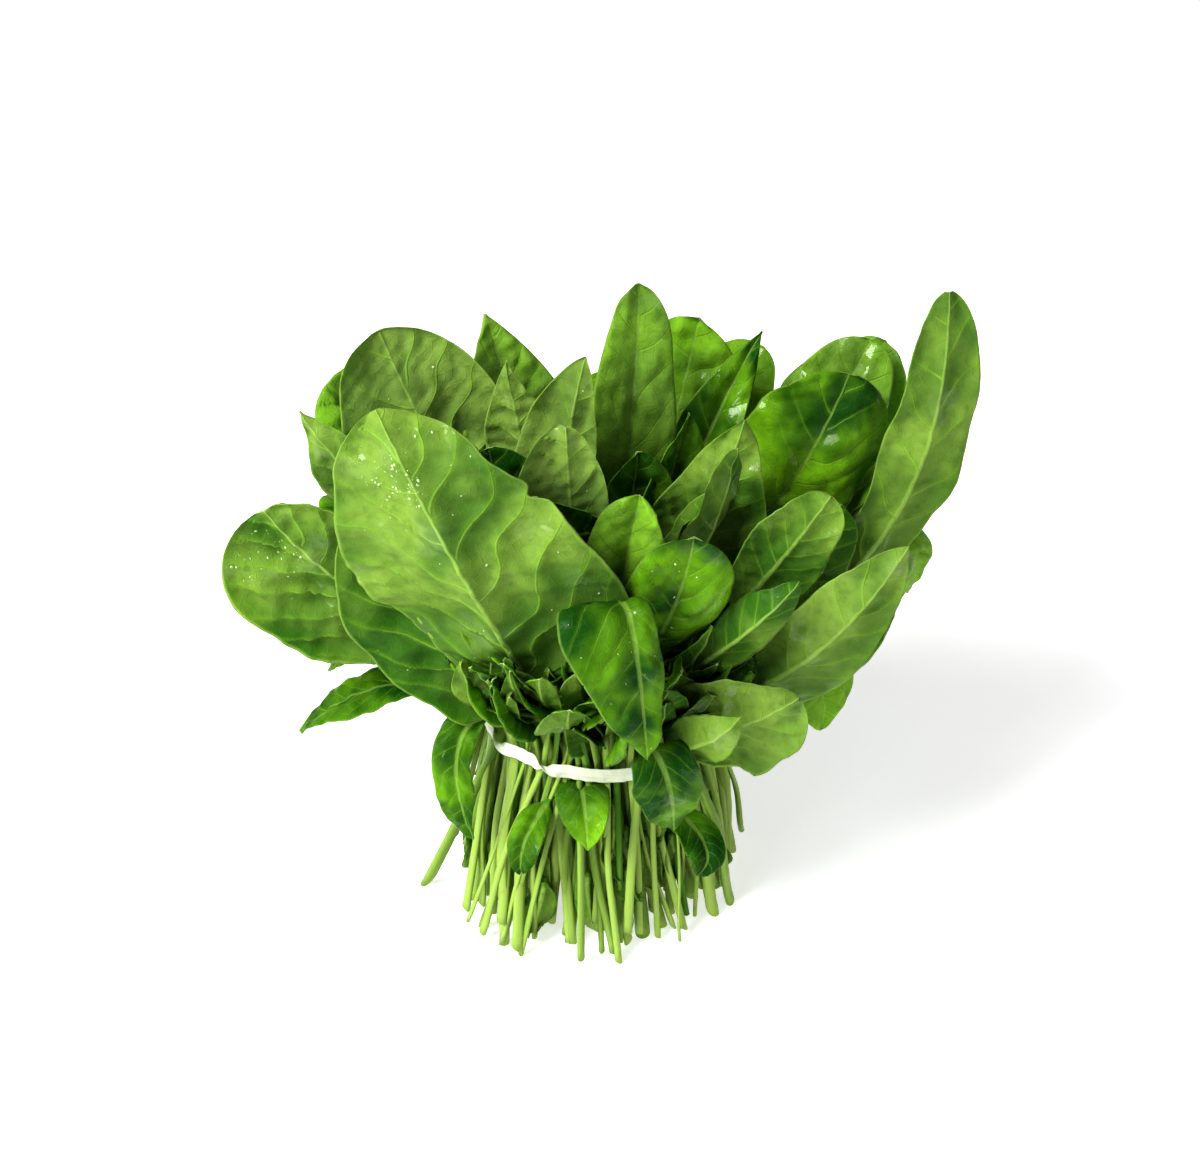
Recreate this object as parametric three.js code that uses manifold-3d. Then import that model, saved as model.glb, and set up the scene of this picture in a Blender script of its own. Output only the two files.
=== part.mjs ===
// A tied bunch of spinach standing on its cut stalks: every leaf is one solid, stalk and blade in one
// piece as it grew, and one flat paper-covered tie goes round all of them.
// Millimetres, +Z up; -Y is the front.
import * as THREE from "three";
import Module from "manifold-3d";

// Driving dimensions
const TIE_HEIGHT = 84;
const BUNDLE_RADIUS = 44; // of the outermost stalk's centre line, where the tie holds it
const FOOT_SPREAD = 1.3; // the stalks splay below the tie, to this many times their radius at it
const CUT_STEP = 2; // the knife left the stalks uneven: each ends a few steps above the lowest
const CUT_LEVELS = 4;
const STALK_HALF_WIDTH = 2.5;
const STALK_HALF_DEPTH = 2.2;
const BLADE_THICKNESS = 0.9;
const RIB_AT_TIP = 0.5;
const GOLDEN_ANGLE = 137.508;
const STALK_RISE = 0.3; // share of the way to the elbow that a stalk keeps its direction past the tie

// The tie: a flat strip round the stalks. Its face turns over in two half twists at the front left,
// and its two ends are twisted together at the back.
const TIE_WIDTH = 6.5;
const TIE_THICKNESS = 0.9;
const TIE_CLEARANCE = 2; // between the outermost stalks and the strip's middle
const TIE_TILT = 0.05; // it sits a little higher on its left
const TIE_STATIONS = 72;
const TIE_TWISTS = [219, 246]; // their azimuths
const TWIST_REACH = 7; // degrees each way from a twist's middle
const TIE_BULGE = 1.8; // the strip stands off the stalks while it turns over
const TIE_ENDS = { azimuth: 92, length: 20, turns: 1.5, width: 4, steps: 14, outward: 0.85, down: 0.53 };

// Blade outlines: the half width is a constant times t^base (1 - t)^tip, with t from the blade's base to its tip.
const OUTLINES = {
  oval: { base: 0.62, tip: 0.5 },
  broad: { base: 0.52, tip: 0.52 },
  round: { base: 0.7, tip: 0.42 },
  spade: { base: 0.5, tip: 0.72 },
  pointed: { base: 0.62, tip: 0.95 },
  strap: { base: 0.45, tip: 0.42 },
};

// One row a leaf, from the outside of the bunch inwards in each part of it:
// name, tip, elbow (the point its stalk bends towards), blade length, blade width,
// [azimuth, elevation] of the line across the blade, fold at the rib, curl of each half, outline.
const LEAVES = [
  ["front_left_leaf_1", [-76, -50, 243], [-35, -92, 162], 132, 84, [350, 5], 6, -14, "broad"],
  ["front_left_leaf_2", [-86, -46, 192], [-62, -54, 132], 106, 54, [0, 45], 8, -20, "oval"],
  ["front_left_leaf_3", [-108, -2, 100], [-90, 2, 134], 60, 36, [290, 20], 8, -20, "spade"],
  ["left_leaf_1", [-122, -28, 190], [-92, -26, 140], 92, 76, [350, 42], -6, -30, "round"],
  ["left_leaf_2", [-118, -22, 84], [-90, -24, 122], 62, 32, [265, 0], 12, -10, "spade"],
  ["left_leaf_3", [-110, -4, 218], [-76, -20, 168], 76, 40, [330, 40], 12, -10, "pointed"],
  ["left_leaf_4", [-104, 32, 212], [-66, 24, 176], 84, 52, [232, 0], 8, -16, "round"],
  ["left_leaf_5", [-81, 12, 243], [-58, 4, 180], 118, 66, [10, 10], 10, -16, "oval"],
  ["back_left_leaf_1", [-37, 32, 240], [-29, 26, 190], 104, 48, [200, 0], 14, -10, "pointed"],
  ["centre_left_leaf_1", [-34, -4, 238], [-28, -6, 186], 88, 38, [10, 0], 14, -8, "pointed"],
  ["centre_left_leaf_2", [-5, -10, 243], [-20, -18, 192], 100, 44, [20, 0], 8, -12, "spade"],
  ["centre_left_leaf_3", [-12, -32, 226], [-10, -38, 176], 82, 46, [0, 0], 6, -20, "round"],
  ["centre_left_leaf_4", [-40, -24, 214], [-32, -30, 160], 84, 42, [190, 0], 16, -10, "oval"],
  ["centre_leaf_1", [14, 18, 259], [14, 16, 200], 114, 32, [190, 0], 22, -10, "oval"],
  ["centre_leaf_2", [38, 42, 234], [28, 32, 184], 98, 46, [180, 0], 8, -16, "round"],
  ["centre_leaf_3", [62, 64, 213], [40, 48, 174], 84, 40, [150, 0], 8, -16, "round"],
  ["centre_leaf_4", [61, 30, 234], [34, 24, 186], 92, 30, [170, 0], 34, -10, "pointed"],
  ["centre_leaf_5", [33, 2, 214], [20, -2, 166], 82, 38, [165, 0], 26, -8, "spade"],
  ["centre_leaf_6", [14, -10, 204], [10, -8, 162], 76, 36, [200, 0], 22, -8, "oval"],
  ["centre_right_leaf_1", [52, -18, 222], [38, -26, 170], 86, 44, [0, 0], 10, -10, "pointed"],
  ["centre_right_leaf_2", [48, -32, 218], [42, -38, 166], 84, 24, [50, 0], 20, -10, "strap"],
  ["front_leaf_1", [14, -44, 206], [6, -48, 158], 62, 34, [190, 0], 26, -10, "oval"],
  ["front_leaf_2", [33, -56, 196], [26, -60, 150], 66, 38, [182, 0], 14, -16, "round"],
  ["front_leaf_3", [17, -82, 118], [8, -98, 250], 82, 40, [15, 0], 8, -14, "spade"],
  ["front_right_leaf_1", [82, -38, 202], [56, -44, 158], 64, 32, [0, -45], 8, -12, "oval"],
  ["front_right_leaf_2", [70, -60, 180], [46, -68, 146], 60, 22, [0, -60], 16, -14, "oval"],
  ["front_right_leaf_3", [110, -46, 186], [72, -66, 118], 100, 38, [0, -45], 10, -12, "pointed"],
  ["front_right_leaf_4", [72, -66, 134], [40, -72, 108], 68, 46, [0, -63], 8, -18, "oval"],
  ["front_right_leaf_5", [50, -78, 134], [32, -80, 106], 46, 22, [0, -55], 20, -10, "spade"],
  ["right_leaf_1", [125, 6, 261], [136, -14, 124], 130, 35, [10, 0], 8, -10, "strap"],
  ["right_leaf_2", [92, 10, 226], [74, 2, 170], 92, 56, [182, 0], 10, -16, "round"],
  ["right_leaf_3", [105, 50, 221], [88, 40, 174], 88, 40, [180, 0], 8, -16, "round"],
  ["right_leaf_4", [114, 68, 212], [96, 60, 164], 84, 40, [150, 0], 10, -16, "round"],
  ["right_leaf_5", [136, 26, 214], [121, 24, 176], 84, 26, [100, 0], 20, -10, "oval"],
  ["right_leaf_6", [131, 34, 186], [112, 36, 144], 60, 30, [80, 0], 14, -10, "round"],
  ["right_leaf_7", [124, 16, 125], [134, 0, 192], 38, 28, [60, 0], 8, -14, "spade"],
  ["right_leaf_8", [86, -30, 92], [94, -34, 144], 54, 34, [30, 0], 8, -10, "spade"],
  ["low_leaf_1", [-50, -46, 50], [-72, -42, 120], 62, 30, [330, 0], 12, -10, "oval"],
  ["low_leaf_2", [28, -66, 72], [26, -94, 140], 48, 22, [10, 0], 10, -10, "spade"],
  ["low_leaf_3", [-30, -62, 48], [-38, -76, 108], 32, 22, [340, 0], 10, -10, "round"],
  ["low_leaf_4", [-5, -64, 60], [-4, -90, 112], 36, 22, [0, 0], 10, -10, "pointed"],
  ["low_leaf_5", [38, -58, 42], [58, -66, 100], 34, 22, [20, 0], 10, -10, "round"],
  ["back_leaf_1", [6, 98, 184], [6, 66, 158], 74, 46, [180, 0], 8, -14, "oval"],
  ["back_leaf_2", [-46, 92, 187], [-28, 62, 160], 70, 38, [206, 0], 8, -14, "oval"],
  ["back_leaf_3", [-92, 64, 200], [-58, 44, 164], 82, 44, [230, 0], 8, -14, "round"],
  ["back_leaf_4", [60, 96, 186], [36, 66, 164], 80, 46, [150, 0], 8, -14, "spade"],
  ["back_leaf_5", [-10, 112, 158], [-8, 84, 166], 96, 58, [186, 0], 8, -14, "oval"],
  ["back_leaf_6", [-60, 102, 142], [-42, 78, 160], 90, 52, [208, 0], 8, -14, "spade"],
  ["back_leaf_7", [-112, 52, 150], [-84, 36, 158], 88, 48, [242, 0], 8, -14, "oval"],
  ["back_leaf_8", [42, 108, 132], [34, 82, 158], 86, 50, [160, 0], 8, -14, "oval"],
  ["back_leaf_9", [78, 90, 150], [54, 72, 158], 90, 50, [138, 0], 8, -14, "round"],
  ["back_leaf_10", [-16, 52, 204], [-12, 38, 168], 84, 44, [190, 0], 10, -14, "oval"],
  ["back_leaf_11", [-64, 50, 210], [-42, 36, 174], 90, 46, [215, 0], 10, -14, "spade"],
  ["back_leaf_12", [10, 74, 194], [4, 54, 162], 84, 44, [180, 0], 10, -14, "round"],
  ["back_low_leaf_1", [4, 98, 84], [4, 86, 146], 70, 40, [180, 0], 8, -14, "spade"],
  ["back_low_leaf_2", [-100, 34, 92], [-86, 30, 140], 68, 38, [255, 0], 8, -14, "oval"],
  ["back_low_leaf_3", [88, 66, 94], [80, 60, 140], 64, 36, [128, 0], 8, -14, "oval"],
  ["back_low_leaf_4", [-62, 76, 90], [-56, 66, 138], 62, 34, [215, 0], 8, -14, "oval"],
];

const UPWARD = new THREE.Vector3(0, 0, 1);
const radians = THREE.MathUtils.degToRad;

// Where the stalks pass through the tie: a sunflower's even spacing, with the leaves given places
// so that no two stalks cross on their way to their elbows.
function stalkPlaces(leaves) {
  const places = leaves.map((_, i) => {
    const radius = BUNDLE_RADIUS * Math.sqrt((i + 0.5) / leaves.length);
    const angle = radians(i * GOLDEN_ANGLE);
    return new THREE.Vector2(radius * Math.cos(angle), radius * Math.sin(angle));
  });
  const leans = leaves.map(([, , elbow]) => new THREE.Vector2(elbow[0], elbow[1]));
  let crossed = true;
  while (crossed) {
    crossed = false;
    for (let i = 0; i < places.length; i++)
      for (let j = i + 1; j < places.length; j++)
        if (leans[i].clone().sub(leans[j]).dot(places[i].clone().sub(places[j])) < 0) {
          [places[i], places[j]] = [places[j], places[i]];
          crossed = true;
        }
  }
  return new Map(leaves.map(([name], i) => [name, places[i]]));
}

// Half of a blade's width at t, as a share of the widest.
function outlineAt(outline, t) {
  const { base, tip } = OUTLINES[outline];
  const widest = base / (base + tip);
  return (t ** base * (1 - t) ** tip) / (widest ** base * (1 - widest) ** tip);
}

// A point of the blade's cross curve: q runs from -1 at one margin to 1 at the other. Each half starts at the
// fold's angle and turns by the curl's on its way out. Returns [across, up].
function crossCurve(q, half, fold, curl) {
  const turned = fold + curl * Math.abs(q);
  const out = Math.abs(curl) > 1e-6 ? (Math.sin(turned) - Math.sin(fold)) / curl : Math.abs(q) * Math.cos(fold);
  const up = Math.abs(curl) > 1e-6 ? (Math.cos(fold) - Math.cos(turned)) / curl : Math.abs(q) * Math.sin(fold);
  return [Math.sign(q) * half * out, half * up];
}

// The eight corners of a leaf's section: round in the stalk, flat with a rib under it in the blade.
function section({ half, edge, top, rib, fold, curl }) {
  const corner = (q, lift) => {
    const [out, up] = crossCurve(q, half, fold, curl);
    return [out, up + lift];
  };
  const s = edge.at;
  return [
    corner(1, 0), corner(s, edge.thick), corner(0, top), corner(-s, edge.thick),
    corner(-1, 0), corner(-s, -edge.thick), corner(0, -rib), corner(s, -edge.thick),
  ];
}

// Every station of one leaf, from the cut end to the tip: where it is, its axes and its section.
function stations([, tip, elbow, length, width, spread, fold, curl, outline], place, cut) {
  const waist = new THREE.Vector3(place.x, place.y, TIE_HEIGHT);
  const foot = new THREE.Vector3(place.x * FOOT_SPREAD, place.y * FOOT_SPREAD, cut);
  const along = waist.clone().sub(foot).normalize();
  const bend = new THREE.Vector3(...elbow);
  const rise = STALK_RISE * bend.distanceTo(waist);
  const curve = new THREE.CubicBezierCurve3(waist, waist.clone().addScaledVector(along, rise), bend,
    new THREE.Vector3(...tip));
  const full = curve.getLength();
  const start = Math.max(0.04, 1 - length / full); // the blade's base, as a share of the curve
  const across = new THREE.Vector3(
    Math.cos(radians(spread[0])) * Math.cos(radians(spread[1])),
    Math.sin(radians(spread[0])) * Math.cos(radians(spread[1])),
    Math.sin(radians(spread[1])),
  );
  const stalk = { half: STALK_HALF_WIDTH, edge: { at: 0.71, thick: STALK_HALF_DEPTH * 0.71 },
    top: STALK_HALF_DEPTH, rib: STALK_HALF_DEPTH, fold: 0, curl: 0 };
  const at = (point, tangent, shape) => {
    const side = across.clone().addScaledVector(tangent, -across.dot(tangent)).normalize();
    return { point, side, up: new THREE.Vector3().crossVectors(tangent, side), shape };
  };
  const made = [at(foot, UPWARD, stalk), at(waist, along, stalk)]; // the foot is cut level
  for (const u of [0.5, 1]) made.push(at(curve.getPointAt(u * start), curve.getTangentAt(u * start), stalk));
  for (const t of [0.12, 0.28, 0.46, 0.64, 0.81, 0.94, 1]) {
    const u = start + (1 - start) * t;
    const half = Math.max((width / 2) * outlineAt(outline, Math.min(t, 0.998)), 0.8);
    const rib = STALK_HALF_DEPTH + (RIB_AT_TIP - STALK_HALF_DEPTH) * Math.min(1, 1.4 * t);
    const opened = Math.min(1, t / 0.2);
    made.push(at(curve.getPointAt(u), curve.getTangentAt(u), { half, rib,
      edge: { at: 0.55, thick: BLADE_THICKNESS / 2 }, top: BLADE_THICKNESS / 2,
      fold: radians(fold) * opened, curl: radians(curl) * opened }));
  }
  return made;
}

// A closed skin over rings of points; a closed run joins its last ring to its first, an open one has flat ends.
function skin(rings, closed) {
  const n = rings[0].length;
  const index = [];
  const bands = closed ? rings.length : rings.length - 1;
  for (let k = 0; k < bands; k++)
    for (let i = 0; i < n; i++) {
      const next = ((k + 1) % rings.length) * n;
      const a = k * n + i;
      const b = k * n + ((i + 1) % n);
      const c = next + i;
      const d = next + ((i + 1) % n);
      index.push(a, b, c, b, d, c);
    }
  if (!closed) {
    const last = (rings.length - 1) * n;
    for (let i = 1; i + 1 < n; i++) index.push(0, i + 1, i, last, last + i, last + i + 1);
  }
  const positions = rings.flat().flatMap((p) => p.toArray());
  const geometry = new THREE.BufferGeometry();
  geometry.setAttribute("position", new THREE.Float32BufferAttribute(positions, 3));
  geometry.setIndex(index);
  geometry.computeVertexNormals();
  return geometry;
}

function leafSolid(row, place, cut) {
  const rings = stations(row, place, cut).map(({ point, side, up, shape }) =>
    section(shape).map(([out, lift]) => point.clone().addScaledVector(side, out).addScaledVector(up, lift)));
  return skin(rings, false);
}

// The four corners of the tie's section about a point, its width turned by an angle from the upward axis.
function stripCorners(point, outward, upward, turn, width) {
  const wide = upward.clone().multiplyScalar(Math.cos(turn)).addScaledVector(outward, Math.sin(turn));
  const thin = outward.clone().multiplyScalar(Math.cos(turn)).addScaledVector(upward, -Math.sin(turn));
  return [[1, 1], [-1, 1], [-1, -1], [1, -1]].map(([w, t]) =>
    point.clone().addScaledVector(wide, (w * width) / 2).addScaledVector(thin, (t * TIE_THICKNESS) / 2));
}

// A point of the tie's middle line, and the direction straight out from the bundle there.
function tiePoint(azimuth, bulge) {
  const outward = new THREE.Vector3(Math.cos(radians(azimuth)), Math.sin(radians(azimuth)), 0);
  const radius = BUNDLE_RADIUS + STALK_HALF_WIDTH + TIE_CLEARANCE + bulge;
  const point = outward.clone().multiplyScalar(radius);
  point.z = TIE_HEIGHT - TIE_TILT * point.x;
  return { point, outward };
}

function tieBand() {
  const rings = [];
  for (let k = 0; k < TIE_STATIONS; k++) {
    const azimuth = (360 * k) / TIE_STATIONS;
    let turn = 0;
    let bulge = 0;
    for (const middle of TIE_TWISTS) {
      const x = (azimuth - middle) / TWIST_REACH;
      turn += Math.PI * THREE.MathUtils.smoothstep(x, -1, 1);
      bulge += TIE_BULGE * THREE.MathUtils.smoothstep(1.4 - Math.abs(x), 0, 1);
    }
    const { point, outward } = tiePoint(azimuth, bulge);
    rings.push(stripCorners(point, outward, UPWARD, turn, TIE_WIDTH));
  }
  return skin(rings, true);
}

// The two ends of the strip twisted together: one narrow strip that turns as it runs out and down.
function tieEnds() {
  const { azimuth, length, turns, width, steps, down } = TIE_ENDS;
  const { point, outward } = tiePoint(azimuth, 0);
  const run = outward.clone().multiplyScalar(TIE_ENDS.outward).addScaledVector(UPWARD, -down).normalize();
  const sideways = new THREE.Vector3().crossVectors(UPWARD, outward);
  const normal = new THREE.Vector3().crossVectors(sideways, run);
  const rings = [];
  for (let k = 0; k <= steps; k++)
    rings.push(stripCorners(point.clone().addScaledVector(run, (length * k) / steps), sideways, normal,
      (2 * Math.PI * turns * k) / steps, width));
  return skin(rings, false);
}

const wasm = await Module();
wasm.setup();

function solidOf(geometry) {
  return new wasm.Manifold(new wasm.Mesh({ numProp: 3,
    vertProperties: geometry.getAttribute("position").array, triVerts: new Uint32Array(geometry.index.array) }));
}

function joined(first, second) {
  const mesh = solidOf(first).add(solidOf(second)).getMesh();
  const geometry = new THREE.BufferGeometry();
  geometry.setAttribute("position", new THREE.Float32BufferAttribute(mesh.vertProperties, 3));
  geometry.setIndex(new THREE.BufferAttribute(mesh.triVerts, 1));
  geometry.computeVertexNormals();
  return geometry;
}

const bunch = new THREE.Group();

function addPart(name, geometry, finish) {
  const mesh = new THREE.Mesh(geometry, new THREE.MeshStandardMaterial({ metalness: 0, ...finish }));
  mesh.name = name;
  bunch.add(mesh);
}

const places = stalkPlaces(LEAVES);
LEAVES.forEach((row, i) => {
  const cut = CUT_STEP * ((i * 3) % CUT_LEVELS);
  addPart(row[0], leafSolid(row, places.get(row[0]), cut), { color: 0x4f8a1c, roughness: 0.45 });
});
addPart("twist_tie", joined(tieBand(), tieEnds()), { color: 0xeef3dc, roughness: 0.6 });

// The origin goes on the table under the middle of the bunch.
const box = new THREE.Box3().setFromObject(bunch);
const middle = box.getCenter(new THREE.Vector3());
bunch.position.set(-middle.x, -middle.y, -box.min.z);

export default bunch;
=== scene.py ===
"""A tied bunch of spinach standing on its cut stalks, on a pale table."""

import logging
import math
from dataclasses import dataclass, field
from enum import Enum

import bpy
import numpy as np
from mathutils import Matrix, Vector


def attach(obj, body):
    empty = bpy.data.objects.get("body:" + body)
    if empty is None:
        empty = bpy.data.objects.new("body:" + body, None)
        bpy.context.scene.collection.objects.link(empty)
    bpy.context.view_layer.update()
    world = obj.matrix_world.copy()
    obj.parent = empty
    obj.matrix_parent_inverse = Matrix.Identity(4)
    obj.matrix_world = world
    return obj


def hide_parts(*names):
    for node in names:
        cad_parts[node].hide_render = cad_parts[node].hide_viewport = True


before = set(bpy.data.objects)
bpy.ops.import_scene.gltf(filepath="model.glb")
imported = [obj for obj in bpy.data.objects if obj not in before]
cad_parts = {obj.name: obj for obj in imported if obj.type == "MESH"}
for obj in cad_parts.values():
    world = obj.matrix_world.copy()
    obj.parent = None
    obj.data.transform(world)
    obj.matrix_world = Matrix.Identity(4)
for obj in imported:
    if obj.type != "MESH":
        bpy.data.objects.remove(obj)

LOG = logging.getLogger("spinach_bunch")
MM = 0.001
FULL_TURN = 2.0 * math.pi
UPWARD = np.array([0.0, 0.0, 1.0])

# The bundle, in millimetres: the same driving sizes as the solids
TIE_HEIGHT = 84.0
BUNDLE_RADIUS = 44.0
FOOT_SPREAD = 1.3
CUT_STEP = 2
CUT_LEVELS = 4
STALK_HALF_WIDTH = 2.5
STALK_HALF_DEPTH = 2.2
GOLDEN_ANGLE = math.radians(137.508)
STALK_RISE = 0.3
# The middle of the bunch's box, which goes to the origin
MIDDLE = np.array([1.08345, 11.32327, 0.0])

Colour = tuple[float, float, float]


class Outline(Enum):
    """Blade outlines: the half width goes as t^base (1 - t)^tip from the blade's base to its tip."""

    OVAL = (0.62, 0.50)
    BROAD = (0.52, 0.52)
    ROUND = (0.70, 0.42)
    SPADE = (0.50, 0.72)
    POINTED = (0.62, 0.95)
    STRAP = (0.45, 0.42)


@dataclass(frozen=True)
class LeafPlan:
    """One leaf: where it goes and what its blade is like, in millimetres and degrees.

    Attributes:
        name: the node it stands for, or its own.
        tip, elbow: where it ends, and the point its stalk bends towards.
        length, width: of its blade.
        spread: the azimuth and elevation of the line across the blade.
        fold, curl: the angle at the rib, and the turn of each half towards its margin.
        outline: the blade's.
        tone: from -1, dark, to 1, pale.
        wave: how far the margin ripples.
    """

    name: str
    tip: tuple[float, float, float]
    elbow: tuple[float, float, float]
    length: float
    width: float
    spread: tuple[float, float]
    fold: float
    curl: float
    outline: Outline
    tone: float
    wave: float


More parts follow.
